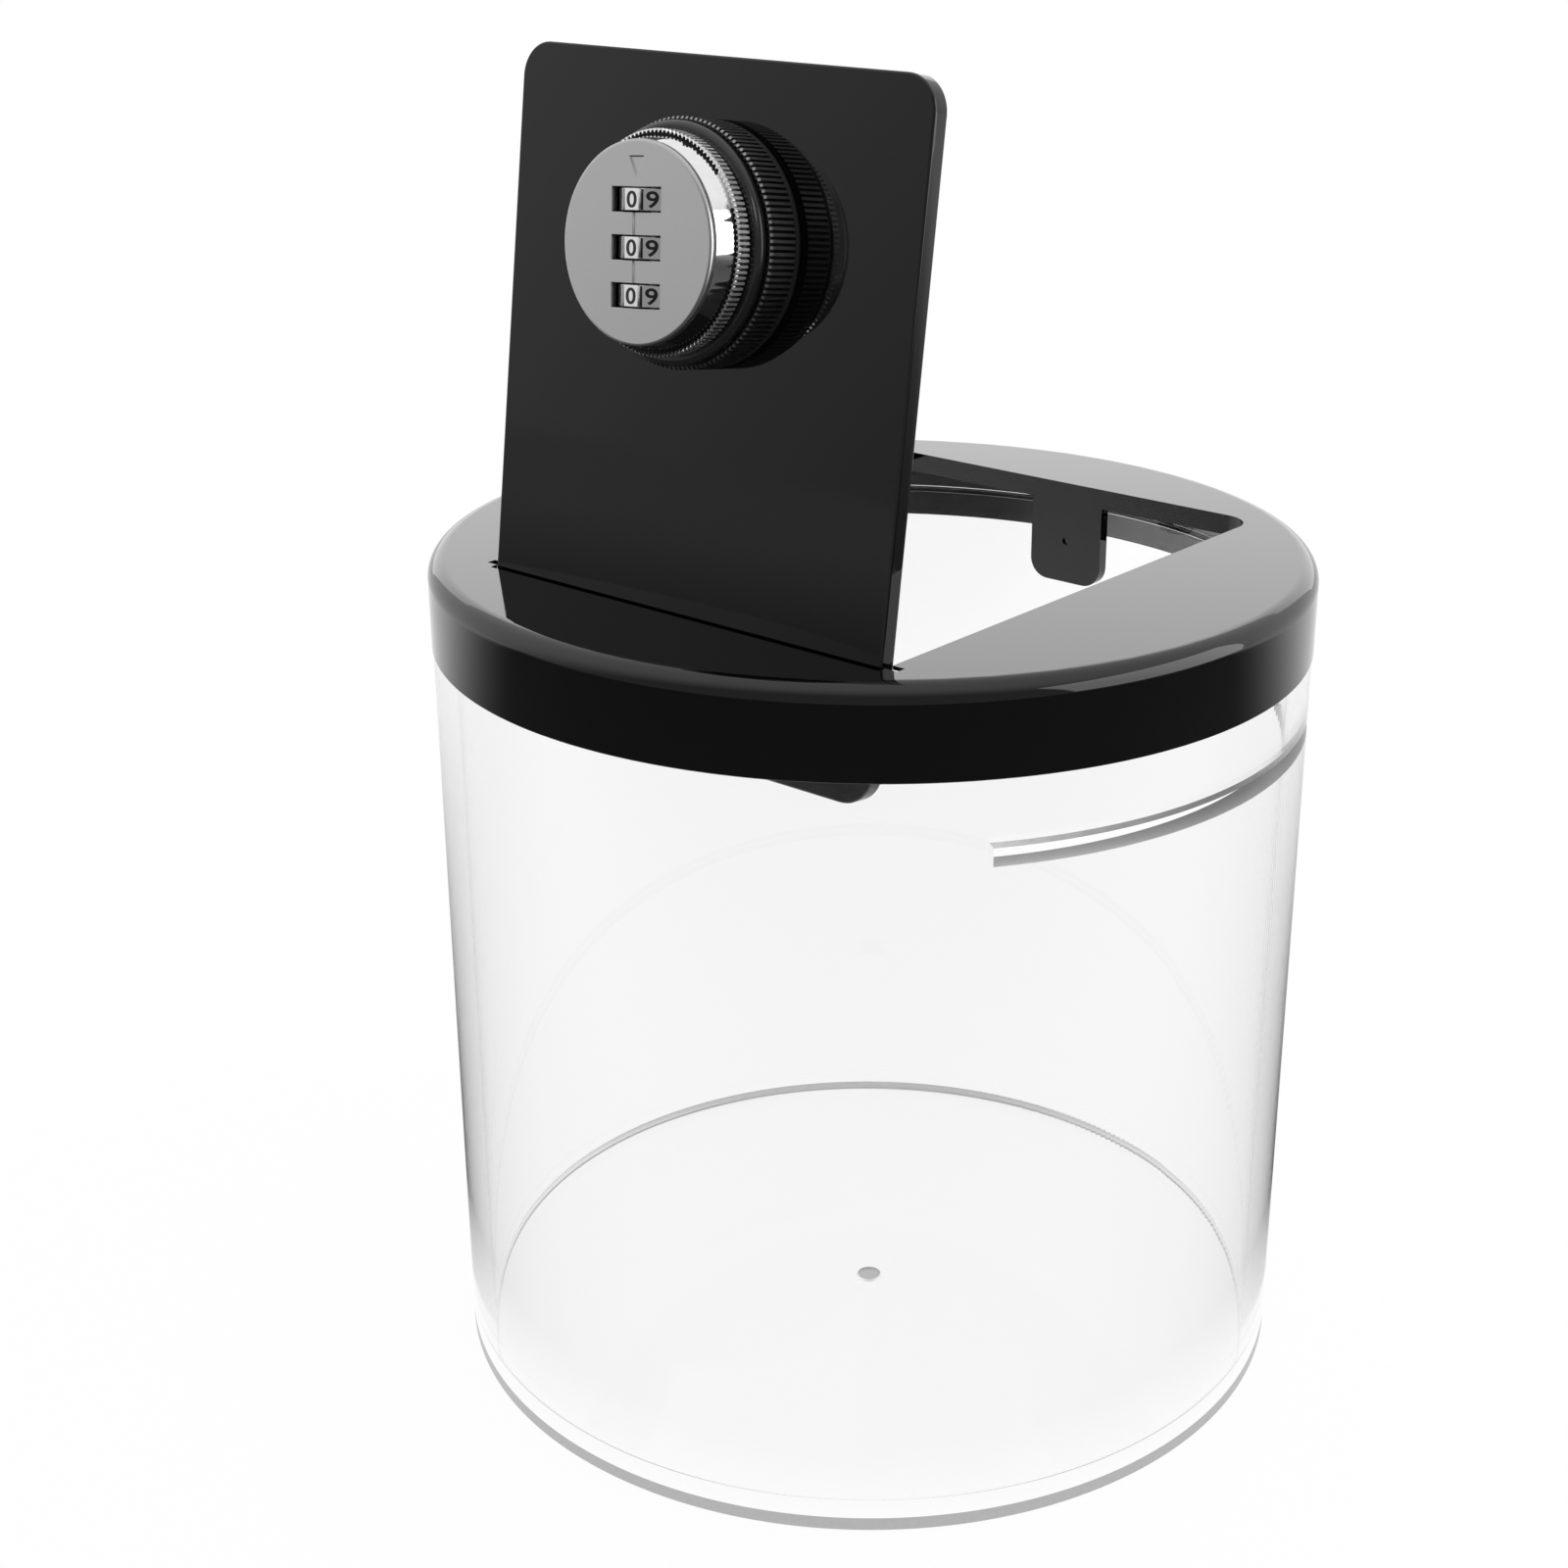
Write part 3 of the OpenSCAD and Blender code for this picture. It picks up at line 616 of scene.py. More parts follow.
def soften(piece, width, steps=2, sharper_than=50):
    """Sorts a mesh, joins faces that lie in one plane, and rounds the sharp edges by a width in mm."""
    activate(piece)
    bpy.ops.object.mode_set(mode="EDIT")
    bpy.ops.mesh.select_all(action="SELECT")
    bpy.context.scene.cursor.location = SORT_FROM
    bpy.ops.mesh.sort_elements(type="CURSOR_DISTANCE", elements={"VERT", "EDGE", "FACE"})
    bpy.context.scene.cursor.location = (0, 0, 0)
    bpy.ops.mesh.dissolve_limited(angle_limit=math.radians(SAME_PLANE))
    bpy.ops.object.mode_set(mode="OBJECT")
    bpy.ops.object.modifier_add(type="BEVEL")
    modifier = piece.modifiers[-1]
    modifier.width = width * MM
    modifier.segments = steps
    modifier.limit_method = "ANGLE"
    modifier.angle_limit = math.radians(sharper_than)
    bpy.ops.object.modifier_apply(modifier=modifier.name)
    return piece


def paint(piece, index, test):
    """Gives the faces that pass a test the piece's material with this index."""
    activate(piece)
    bpy.ops.object.mode_set(mode="EDIT")
    bpy.ops.mesh.select_mode(type="FACE")
    pick(piece, "faces", test)
    piece.active_material_index = index
    bpy.ops.object.material_slot_assign()
    bpy.ops.object.mode_set(mode="OBJECT")


def deliver(piece, materials, body, slot, *nodes, at=HERE):
    """Stands a finished piece in its frame, smooths it, hangs it on its body and hides the CAD parts it
    replaces.
    """
    activate(piece)
    piece.matrix_world = at
    bpy.ops.object.transform_apply()
    bpy.ops.object.shade_smooth_by_angle(angle=math.radians(SMOOTH_ANGLE))
    bpy.ops.object.modifier_add(type="WEIGHTED_NORMAL")
    weighted = piece.modifiers[-1]
    weighted.keep_sharp = True
    weighted.weight = 100
    bpy.ops.object.modifier_apply(modifier=weighted.name)
    for material in materials if not piece.data.materials else []:
        piece.data.materials.append(material)
    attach(piece, body)
    if nodes:
        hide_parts(*nodes)
    print(piece.name, "has", len(piece.data.polygons), "faces")
    return piece


print("edges sharper than", SMOOTH_ANGLE, "degrees stay sharp")

# %% [markdown]
# The jar is one turned section: foot, wall, shoulder for the lid, neck with its snap bead, and the inside
# with a fillet at the floor. Its underside has a small round recess, where the plastic was injected. The
# money slot follows the wall, so its cutter is a short rectangle spun through the slot's own angle.

# %% Jar
JAR_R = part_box("jar")[1].x / MM
JAR_WALL, JAR_FLOOR, FLOOR_FILLET, FOOT_CHAMFER = 3.4, 2.6, 2.5, 0.5
LID_H, LID_T, SKIRT_T, NECK_GAP, NECK_ROOM, BEAD_R = 14.0, 3.4, 1.8, 0.3, 0.8, 0.7
GATE_R, GATE_DEEP, GATE_SLOPE = 2.3, 0.8, 0.3
SLOT_H, SLOT_ARC, SLOT_DROP = 2.8, 75.0, 11.5
LID_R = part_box("lid")[1].x / MM
LID_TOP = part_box("lid")[1].z / MM
JAR_H = LID_TOP - LID_H
NECK_R = LID_R - SKIRT_T - NECK_GAP
NECK_TOP = LID_TOP - LID_T - NECK_ROOM
BEAD_Z = (JAR_H + NECK_TOP) / 2
BORE_R = JAR_R - JAR_WALL
JAR_STEPS = 480
CUT_PAST = 1.0
ON_FACE = 0.1

bead_angle = math.degrees(math.acos(0.5))
jar = turned(
    "clear_jar",
    [
        (0, GATE_DEEP), (GATE_R - GATE_SLOPE, GATE_DEEP), (GATE_R, 0),
        (JAR_R - FOOT_CHAMFER, 0), (JAR_R, FOOT_CHAMFER), (JAR_R, JAR_FLOOR), (JAR_R, JAR_H), (NECK_R, JAR_H),
        *arc(NECK_R - BEAD_R / 2, BEAD_Z, BEAD_R, -bead_angle, bead_angle),
        (NECK_R, NECK_TOP), (BORE_R, NECK_TOP),
        *arc(BORE_R - FLOOR_FILLET, JAR_FLOOR + FLOOR_FILLET, FLOOR_FILLET, 0, -90),
        (0, JAR_FLOOR),
    ],
    JAR_STEPS,
)
slot_low = JAR_H - SLOT_DROP - SLOT_H / 2
slot_cutter = draw(
    "slot_cutter",
    [
        (BORE_R - CUT_PAST, 0, slot_low), (JAR_R + CUT_PAST, 0, slot_low),
        (JAR_R + CUT_PAST, 0, slot_low + SLOT_H), (BORE_R - CUT_PAST, 0, slot_low + SLOT_H),
    ],
)
bpy.ops.mesh.select_all(action="SELECT")
bpy.ops.mesh.edge_face_add()
slot_steps = round(JAR_STEPS * SLOT_ARC / 360)
bpy.ops.mesh.spin(steps=slot_steps, angle=math.radians(SLOT_ARC), center=(0, 0, 0), axis=(0, 0, 1))
close_mesh()
slot_side = sum(v.co.y for v in slot_cutter.data.vertices)
half_turn = math.copysign(math.radians(SLOT_ARC / 2), -slot_side)
moved(slot_cutter, Matrix.Rotation(half_turn, 4, "Z"))
combine(jar, slot_cutter)
print("money slot is", round(math.radians(SLOT_ARC) * JAR_R, 1), "mm long")

# %% [markdown]
# The jar's three finishes go on by place: clear plastic everywhere, then the sawn foot, gate mark and upper
# side of the slot with their painted shade, and last the slot's lower side, painted paler as its lit side.

# %% Finishes of the jar
for material in (CLEAR, SAWN_WITH_SHADE, LIT_SLOT_SIDE):
    jar.data.materials.append(material)


def in_slot(place, height):
    """Whether a face is the slot's side at a height."""
    out = math.hypot(place.x, place.y)
    return abs(place.z - height) < ON_FACE and BORE_R + ON_FACE < out < JAR_R - ON_FACE


def sawn_face(place):
    """Faces of the foot's edge, the gate mark and the slot's upper side."""
    out = math.hypot(place.x, place.y)
    foot = out > JAR_R - FOOT_CHAMFER and place.z < JAR_FLOOR
    gate = out < GATE_R and place.z < GATE_DEEP + ON_FACE
    return foot or gate or in_slot(place, slot_low + SLOT_H)


# The sawn faces get the painted shade.
paint(jar, 1, sawn_face)
# The slot's lower side gets the painted light.
paint(jar, 2, lambda place: in_slot(place, slot_low))
deliver(jar, [], "base", "clear_plastic", "jar")

# %% [markdown]
# The lid is turned as well: a skirt with a groove for the neck's bead, a rounded top edge and a flat top. A
# wide opening is then cut through it. Its near corners are tight, because the sides of the standing flap
# pass there, and the underside of its near edge is bevelled to let the flap's tail swing.

# %% Lid
LID_ROUND, SKIRT_EDGE, LID_STEPS = 3.0, 0.3, 240
GROOVE_STEPS, SKIRT_STEPS, ROUND_STEPS = 6, 4, 14
OPEN_W, CORNER_RIM, CORNER_R, NEAR_CORNER_R = 76.0, 6.2, 5.0, 0.5
BEVEL_TOP, BEVEL_RUN = 1.0, 3.0
NEAR_GAP, FLAP_GAP, TAIL = 1.2, 0.4, 18.4
PIN_R, TRACK_GAP, PIN_OUT = 0.7, 0.1, 1.5
HUB_HOLE = 10.0
open_x, pin_y, pin_z = FLAP.translation / MM
far_edge = math.sqrt((LID_R - CORNER_RIM) ** 2 - (OPEN_W / 2 + open_x) ** 2)
near_edge = -far_edge
skirt_in = LID_R - SKIRT_T
under = LID_TOP - LID_T
groove_angle = math.degrees(math.acos((skirt_in - NECK_R + BEAD_R / 2) / (BEAD_R + NECK_GAP)))

lid = turned(
    "black_lid",
    [
        (HUB_HOLE, under), (skirt_in, under),
        *arc(NECK_R - BEAD_R / 2, BEAD_Z, BEAD_R + NECK_GAP, groove_angle, -groove_angle, GROOVE_STEPS),
        (skirt_in, JAR_H),
        *arc(LID_R - SKIRT_EDGE, JAR_H + SKIRT_EDGE, SKIRT_EDGE, -90, 0, SKIRT_STEPS),
        *arc(LID_R - LID_ROUND, LID_TOP - LID_ROUND, LID_ROUND, 0, 90, ROUND_STEPS),
        (HUB_HOLE, LID_TOP),
    ],
    LID_STEPS,
)
opening = plate(
    "opening_cutter",
    (open_x - OPEN_W / 2, near_edge, under - CUT_PAST),
    (open_x + OPEN_W / 2, far_edge, LID_TOP + CUT_PAST),
    [(lambda p: p.y < 0, NEAR_CORNER_R), (lambda p: p.y > far_edge - CUT_PAST, CORNER_R)],
)
combine(lid, opening)
bevel = prism(
    "bevel_cutter",
    [
        (near_edge + CUT_PAST, LID_TOP - BEVEL_TOP), (near_edge, LID_TOP - BEVEL_TOP),
        (near_edge - BEVEL_RUN, under), (near_edge - BEVEL_RUN, under - CUT_PAST),
        (near_edge + CUT_PAST, under - CUT_PAST),
    ],
    open_x - OPEN_W / 2,
    open_x + OPEN_W / 2,
)
combine(lid, moved(bevel, SIDEWAYS))
print("opening", round(2 * far_edge, 2), "mm long")

# %% [markdown]
# The hinge pins run in two closed tracks in the sides of the opening. Each cutter is a plate whose ends are
# rounded almost to half its width, laid on its side. A notch at each track's near end lets the pin in from
# above.

# %% Tracks for the hinge pins
END_ROUND = 0.999
track_r = PIN_R + TRACK_GAP
track_deep = PIN_OUT + FLAP_GAP + 2 * TRACK_GAP
pin_shut_y = near_edge + NEAR_GAP + TAIL
on_side = Matrix.Translation((0, 0, pin_z * MM)) @ Matrix.Rotation(math.pi / 2, 4, "Y")
for side in (-1, 1):
    wall = open_x + side * (OPEN_W / 2)
    inner, outer = sorted((wall - side * CUT_PAST, wall + side * track_deep))
    track = plate(
        "track_cutter",
        (-track_r, pin_y - track_r, inner),
        (track_r, pin_shut_y + track_r, outer),
        [(lambda p: True, track_r * END_ROUND)],
    )
    combine(lid, moved(track, on_side))
    notch_high = (outer, pin_y + track_r, LID_TOP + CUT_PAST)
    combine(lid, block("notch_cutter", (inner, pin_y - track_r, pin_z), notch_high))
print("tracks run", round(pin_shut_y - pin_y, 2), "mm")

# %% [markdown]
# A tab hangs at the opening's far edge, and the lock's cam turns under it. It is a plate with two rounded
# corners and a small round ejector mark. It is joined to the lid, and then all of the lid's edges are broken
# together.

# %% Keeper tab
TAB_W, TAB_T, TAB_DROP, TAB_BACK, TAB_ROUND = 14.5, 2.0, 18.2, 1.2, 3.5
MARK_R, MARK_DEEP, MARK_STEPS = 0.7, 0.4, 24
EDGE_LID = 0.2
tab = plate(
    "keeper_tab",
    (-TAB_W / 2, -TAB_DROP, 0),
    (TAB_W / 2, -LID_T / 2, TAB_T),
    [(lambda p: p.y < -TAB_DROP + CUT_PAST, TAB_ROUND)],
)
mark_y = -(TAB_DROP + LID_T) / 2
mark = bar("mark_cutter", MARK_R, TAB_T - MARK_DEEP, TAB_T + CUT_PAST, MARK_STEPS)
combine(tab, moved(mark, Matrix.Translation((0, mark_y * MM, 0))))
hang = Matrix.Translation(Vector((open_x, far_edge + TAB_BACK + TAB_T, LID_TOP)) * MM)
combine(lid, moved(tab, hang @ Matrix.Rotation(math.pi / 2, 4, "X")), "UNION")
soften(lid, EDGE_LID)
deliver(lid, [BLACK_ABS], "base", "black_plastic", "lid")

# %% [markdown]
# The flap is a moulded plate with rounded corners. It has a hole with two flats, so that the lock can't spin
# in it, and a blind bore in each side for a hinge pin. Its edges are only just broken, which gives the thin
# bright outline.

# %% Flap
FLAP_T, PIN_IN, PIN_FIT = 2.8, 6.0, 0.05
BARREL_R, FLAT_CUT, BARREL_FIT = 10.8, 1.3, 0.15
EDGE_FLAP, EDGE_FLAP_STEPS = 0.35, 3
BORE_STEPS = 32
flap_w = OPEN_W - 2 * FLAP_GAP
flap_end = 2 * far_edge - NEAR_GAP - FLAP_GAP - TAIL
flap_low, flap_high = (-flap_w / 2, -TAIL, -FLAP_T / 2), (flap_w / 2, flap_end, FLAP_T / 2)
flap = plate("black_flap", flap_low, flap_high, [(lambda p: True, CORNER_R)])
flat_half = BARREL_R - FLAT_CUT


def between_flats(piece, radius, half, low, high):
    """Trims a round piece to two flats."""
    flats = block("flats", (-half, -2 * radius, low - CUT_PAST), (half, 2 * radius, high + CUT_PAST))
    return combine(piece, flats, "INTERSECT")


hole_r = BARREL_R + BARREL_FIT
hole = bar("lock_hole", hole_r, -FLAP_T, FLAP_T)
between_flats(hole, hole_r, flat_half + BARREL_FIT, -FLAP_T, FLAP_T)
combine(flap, moved(hole, Matrix.Translation((lock_x * MM, lock_y * MM, 0))))
for side in (-1, 1):
    bore = bar("pin_bore", PIN_R + PIN_FIT, 0, PIN_IN + CUT_PAST, BORE_STEPS)
    bore_end = Matrix.Translation((side * (flap_w / 2 - PIN_IN) * MM, 0, 0))
    combine(flap, moved(bore, bore_end @ Matrix.Rotation(side * math.pi / 2, 4, "Y")))
soften(flap, EDGE_FLAP, EDGE_FLAP_STEPS)
deliver(flap, [BLACK_ABS], "flap", "black_plastic", "flap", at=FLAP)

# %% [markdown]
# A straight knurl is a ring of small ridges. A cylinder gets six vertices for each ridge, two of every six
# are scaled inwards, and both ends are extruded and drawn in to a chamfer. Hands rub the crests, so on the
# knob they are a rougher chrome. On the collar they are a lighter metal, a painted highlight on the ridge
# tops.

# %% Knurling helper
RIDGE_DEEP, KNURL_CHAMFER, RIDGE_STEPS, ROOT_STEPS = 0.3, 0.3, 6, 2
CREST_BAND = RIDGE_DEEP / 3
AT_END = 0.01


def knurled(name, radius, ridges, low, high, body, crest, lead=KNURL_CHAMFER):
    """A solid ring of straight ridges between two heights in mm, with two finishes."""
    bpy.ops.object.select_all(action="DESELECT")
    bpy.ops.mesh.primitive_cylinder_add(
        vertices=RIDGE_STEPS * ridges,
        radius=radius * MM,
        depth=(high - low - lead - KNURL_CHAMFER) * MM,
        location=(0, 0, (low + KNURL_CHAMFER + high - lead) / 2 * MM),
    )
    ring = bpy.context.object
    ring.name = name
    bpy.ops.object.transform_apply()
    bpy.ops.object.mode_set(mode="EDIT")
    bpy.ops.mesh.select_mode(type="VERT")
    step = 2 * math.pi / (RIDGE_STEPS * ridges)
    pick(ring, "verts", lambda p: round(math.atan2(p.y, p.x) / step) % RIDGE_STEPS < ROOT_STEPS)
    root = (radius - RIDGE_DEEP) / radius
    bpy.ops.transform.resize(value=(root, root, 1), center_override=(0, 0, 0))
    bpy.ops.mesh.select_mode(type="FACE")
    for end, rise in ((high - lead, lead), (low + KNURL_CHAMFER, -KNURL_CHAMFER)):
        drawn_in = (radius - abs(rise)) / radius
        pick(ring, "faces", lambda p: abs(p.z - end) < AT_END)
        bpy.ops.mesh.extrude_region_move(TRANSFORM_OT_translate={"value": (0, 0, rise * MM)})
        bpy.ops.transform.resize(value=(drawn_in, drawn_in, 1), center_override=(0, 0, 0))
    ring.data.materials.append(body)
    ring.data.materials.append(crest)
    pick(ring, "faces", lambda p: math.hypot(p.x, p.y) > radius - CREST_BAND - max(0, p.z - high + lead))
    ring.active_material_index = 1
    bpy.ops.object.material_slot_assign()
    close_mesh()
    return ring


print("ridges are", RIDGE_DEEP, "mm deep")

# %% [markdown]
# The housing is what the fingers hold still: a knurled collar with a smooth, rounded shoulder, and behind
# the flap a barrel with two flats and a thread for the nut. A real thread climbs. Rings at its pitch look
# the same and stay round under the nut. The knob turns in the cup, and the spindle in the bore through the
# barrel.

# %% Gasket and housing
COLLAR_R, COLLAR_H, COLLAR_RIDGES, GASKET_T = 16.9, 5.2, 126, 1.0
GASKET_IN, GASKET_FLAT = 0.5, 0.3
SHOULDER_R, SHOULDER_H, SHELL_T, KNOB_GAP = 16.4, 1.8, 1.0, 0.25
SHOULDER_SUNK, SHOULDER_IN, SHOULDER_START = 0.2, 0.6, -80
TURN_FIT, SPINDLE_R, KNOB_R = 0.06, 4.018, 13.6
CAM_TOP = -18.8
THREAD_PITCH, THREAD_DEEP, THREAD_START = 1.0, 0.5, -3.0
LOCK_STEPS = 180
shoulder_low = GASKET_T + COLLAR_H
collar_top = shoulder_low + SHOULDER_H
cup_floor = GASKET_T + SHELL_T
drum_r = KNOB_R - SHELL_T
barrel_end = CAM_TOP + KNOB_GAP

gasket_half = GASKET_T / 2
gasket = turned(
    "rubber_gasket",
    [
        (hole_r, 0), (COLLAR_R - GASKET_FLAT, 0),
        *arc(COLLAR_R - GASKET_IN, gasket_half, gasket_half, -90, 90), (hole_r, GASKET_T),
    ],
)
deliver(gasket, [RUBBER], "flap", "rubber", "lock_gasket", at=LOCK)

# The collar's crests get the painted highlight.
housing = knurled("lock_collar", COLLAR_R, COLLAR_RIDGES, GASKET_T, shoulder_low, LACQUER, CREST_HIGHLIGHT)
shoulder_round = SHOULDER_H / 2
shoulder_foot = shoulder_low - SHOULDER_SUNK
shoulder_arc = arc(
    SHOULDER_R - shoulder_round, shoulder_low + shoulder_round, shoulder_round, SHOULDER_START, 90
)
shoulder = turned(
    "shoulder",
    [(0, shoulder_foot), (SHOULDER_R - SHOULDER_IN, shoulder_foot), *shoulder_arc, (0, collar_top)],
    LOCK_STEPS,
)
combine(housing, shoulder, "UNION")
thread_root = BARREL_R - THREAD_DEEP
thread = []
for i in range(int((THREAD_START - barrel_end) / THREAD_PITCH)):
    crest = THREAD_START - i * THREAD_PITCH
    thread += [(BARREL_R, crest), (thread_root, crest - THREAD_PITCH / 2)]
barrel = turned(
    "barrel",
    [(0, cup_floor), (BARREL_R, cup_floor), *thread, (thread_root, barrel_end), (0, barrel_end)],
)
combine(housing, between_flats(barrel, BARREL_R, flat_half, barrel_end, cup_floor), "UNION")
bore_r = SPINDLE_R + TURN_FIT
cup_r = drum_r + TURN_FIT
bore_low, cup_high = barrel_end - CUT_PAST, collar_top + CUT_PAST
hollow = turned(
    "hollow",
    [
        (0, bore_low), (bore_r, bore_low), (bore_r, cup_floor),
        (cup_r, cup_floor), (cup_r, cup_high), (0, cup_high),
    ],
)
combine(housing, hollow)
deliver(housing, [], "flap", "black_enamel", "lock_housing", at=LOCK)

# %% [markdown]
# The knob is a chromed casting: a drum that turns in the housing's cup, a knurled foot and a polished band.
# The band gets wider towards its foot, so it mirrors the white room past the flap's edge and not only the
# black flap. Three pockets hold the number wheels, and their faces are painted dark as the shade inside
# them, so the windows look dark round the wheels. The cross bore for the wheels' axle is plugged and
# plated over at its open end.

# %% Knob
FOOT_R, FOOT_H, FOOT_RIDGES, FOOT_LEAD, BAND_TAPER = 15.1, 2.3, 126, 0.25, 0.7
DIAL_R, DIAL_W, DIAL_PITCH, DIAL_GAP, POCKET_GAP = 5.2, 2.9, 6.3, 0.2, 0.4
AXLE_R, AXLE_L, AXLE_FIT, WHEEL_FIT = 1.0, 19.9, 0.03, 0.05
SPRING_W, SPRING_L, SPRING_RISE, SQUARE_FIT, KEY_W = 5.0, 15.9, 0.7, 0.05, 5.0
KNOB_FLOOR, FACE_T, DIAL_PROUD, WINDOW_GAP, DIAL_SHIFT = 1.9, 1.0, 1.1, 0.3, 0.6
foot_low = collar_top + KNOB_GAP
foot_middle, foot_top = foot_low + FOOT_H / 2, foot_low + FOOT_H
drum_floor = cup_floor + KNOB_GAP / 4
pocket_floor = drum_floor + KNOB_FLOOR
face_top = axle_z + DIAL_R - DIAL_PROUD
face_low = face_top - FACE_T
pocket_half = DIAL_R + POCKET_GAP
band_r = KNOB_R + BAND_TAPER
pocket_w = DIAL_W + 2 * DIAL_GAP
dial_rows = [DIAL_PITCH - DIAL_SHIFT, -DIAL_SHIFT, -DIAL_PITCH - DIAL_SHIFT]

knob = knurled("chrome_knob", FOOT_R, FOOT_RIDGES, foot_low, foot_top, CHROME, RIDGES, FOOT_LEAD)
drum = turned(
    "drum",
    [
        (0, drum_floor), (drum_r, drum_floor), (drum_r, foot_middle), (band_r, foot_middle),
        (band_r, foot_top), (KNOB_R, face_low), (0, face_low),
    ],
    LOCK_STEPS,
)
combine(knob, drum, "UNION")
for row in dial_rows:
    low = (-pocket_half, row - pocket_w / 2, pocket_floor)
    combine(knob, block("pocket", low, (pocket_half, row + pocket_w / 2, face_low + CUT_PAST)))
spring_half, spring_end = SPRING_W / 2 + SQUARE_FIT, SPRING_L / 2 + SQUARE_FIT
spring_seat = block(
    "spring_seat",
    (-spring_half, -spring_end - DIAL_SHIFT, pocket_floor),
    (spring_half, spring_end - DIAL_SHIFT, pocket_floor + SPRING_RISE + DIAL_GAP),
)
combine(knob, spring_seat)
key = KEY_W / 2 + SQUARE_FIT
key_low, key_high = (-key, -key, drum_floor - CUT_PAST), (key, key, pocket_floor + SPRING_RISE / 2)
combine(knob, block("key_hole", key_low, key_high))
bore_end = AXLE_L / 2 + 2 * SQUARE_FIT
axle_bore = bar("axle_bore", AXLE_R + AXLE_FIT, -bore_end, bore_end, BORE_STEPS)
axle_place = Matrix.Translation((0, -DIAL_SHIFT * MM, axle_z * MM))
combine(knob, moved(axle_bore, axle_place @ Matrix.Rotation(-math.pi / 2, 4, "X")))
knob.data.materials.append(POCKET_SHADE)


def cast_face(place):
    """Faces of the pockets and the spring's seat."""
    beside = abs(place.x) < pocket_half + AT_END and abs(place.y + DIAL_SHIFT) < SPRING_L / 2 + DIAL_GAP
    return beside and drum_floor + ON_FACE < place.z < face_low - ON_FACE


# The pockets and the spring's seat get the painted shade.
paint(knob, 2, cast_face)
deliver(knob, [], "knob", "chrome", "knob", at=KNOB)

# %% [markdown]
# The face plate is a satin disc with a polished, rounded rim. Three windows are cut through it. A triangle
# that points at the windows and two short index lines between them are sunk into it with sloped sides, which
# catch the light.

# %% Face plate
MARK_SUNK, MARK_OVER, RIM_ROUND, RIM_STEPS = 0.2, 0.2, 0.45, 5
ARROW_W, ARROW_H, ARROW_Y, INDEX_W, MARK_SLOPE = 2.7, 2.7, 10.0, 1.1, 0.12
EDGE_FACE = 0.07
window_half = math.sqrt(DIAL_R**2 - (face_low - axle_z) ** 2) + WINDOW_GAP
rim = arc(KNOB_R - RIM_ROUND, face_top - RIM_ROUND, RIM_ROUND, 0, 90, RIM_STEPS)
face = turned("satin_face", [(0, face_low), (KNOB_R, face_low), *rim, (0, face_top)], LOCK_STEPS)
for row in dial_rows:
    low = (-window_half, row - pocket_w / 2, face_low - CUT_PAST)
    combine(face, block("window", low, (window_half, row + pocket_w / 2, face_top + CUT_PAST)))


def sunk_mark(name, points, wider):
    """A cutter round the origin whose outline is wider at the face by a factor in X and in Y."""
    cutter = prism(name, points, face_top - MARK_SUNK, face_top)
    bpy.ops.object.mode_set(mode="EDIT")
    bpy.ops.mesh.select_mode(type="VERT")
    pick(cutter, "verts", lambda p: p.z > face_top - MARK_SUNK / 2)
    bpy.ops.transform.resize(value=(*wider, 1), center_override=(0, 0, 0))
    bpy.ops.mesh.select_mode(type="FACE")
    pick(cutter, "faces", lambda p: p.z > face_top - MARK_SUNK / 4)
    bpy.ops.mesh.extrude_region_move(TRANSFORM_OT_translate={"value": (0, 0, CUT_PAST * MM)})
    close_mesh()
    return cutter


arrow_side = math.hypot(ARROW_W / 2, ARROW_H)
arrow_in = ARROW_W * ARROW_H / (ARROW_W + 2 * arrow_side)
spread = (arrow_in - MARK_SLOPE) / arrow_in
arrow_points = [(-ARROW_W / 2, arrow_in), (ARROW_W / 2, arrow_in), (0, arrow_in - ARROW_H)]
arrow = sunk_mark("arrow", [(x * spread, y * spread) for x, y in arrow_points], (1 / spread, 1 / spread))
combine(face, moved(arrow, Matrix.Translation(Vector((0, ARROW_Y + ARROW_H / 2 - arrow_in, 0)) * MM)))
reach = (DIAL_PITCH - pocket_w) / 2 + MARK_OVER
groove = INDEX_W / 2 - MARK_SLOPE
for row in (DIAL_PITCH / 2 - DIAL_SHIFT, -DIAL_PITCH / 2 - DIAL_SHIFT):
    corners = [(-groove, -reach), (groove, -reach), (groove, reach), (-groove, reach)]
    line = sunk_mark("index_line", corners, (INDEX_W / 2 / groove, 1))
    combine(face, moved(line, Matrix.Translation((0, row * MM, 0))))
soften(face, EDGE_FACE)
deliver(face, [SATIN], "knob", "brushed_chrome", "face_plate", at=KNOB)

# %% [markdown]
# Each number wheel has ten flats with a groove at every corner, for a fingertip to catch. The outline is
# worked out for one flat and repeated. The grooves are painted black, as the shade that falls in them.

# %% A number wheel
DIGITS, GROOVE_W, GROOVE_DEEP = 10, 0.7, 0.45
EDGE_WHEEL = 0.1
flat_turn = 2 * math.pi / DIGITS
apothem = DIAL_R * math.cos(flat_turn / 2)
groove_floor = apothem - GROOVE_DEEP
pad_half = DIAL_R * math.sin(flat_turn / 2) - GROOVE_W / 2
pad = ((-pad_half, groove_floor), (-pad_half, apothem), (pad_half, apothem), (pad_half, groove_floor))


def around(x, y, angle):
    """A point turned clockwise about the origin."""
    return (x * math.cos(angle) + y * math.sin(angle), y * math.cos(angle) - x * math.sin(angle))


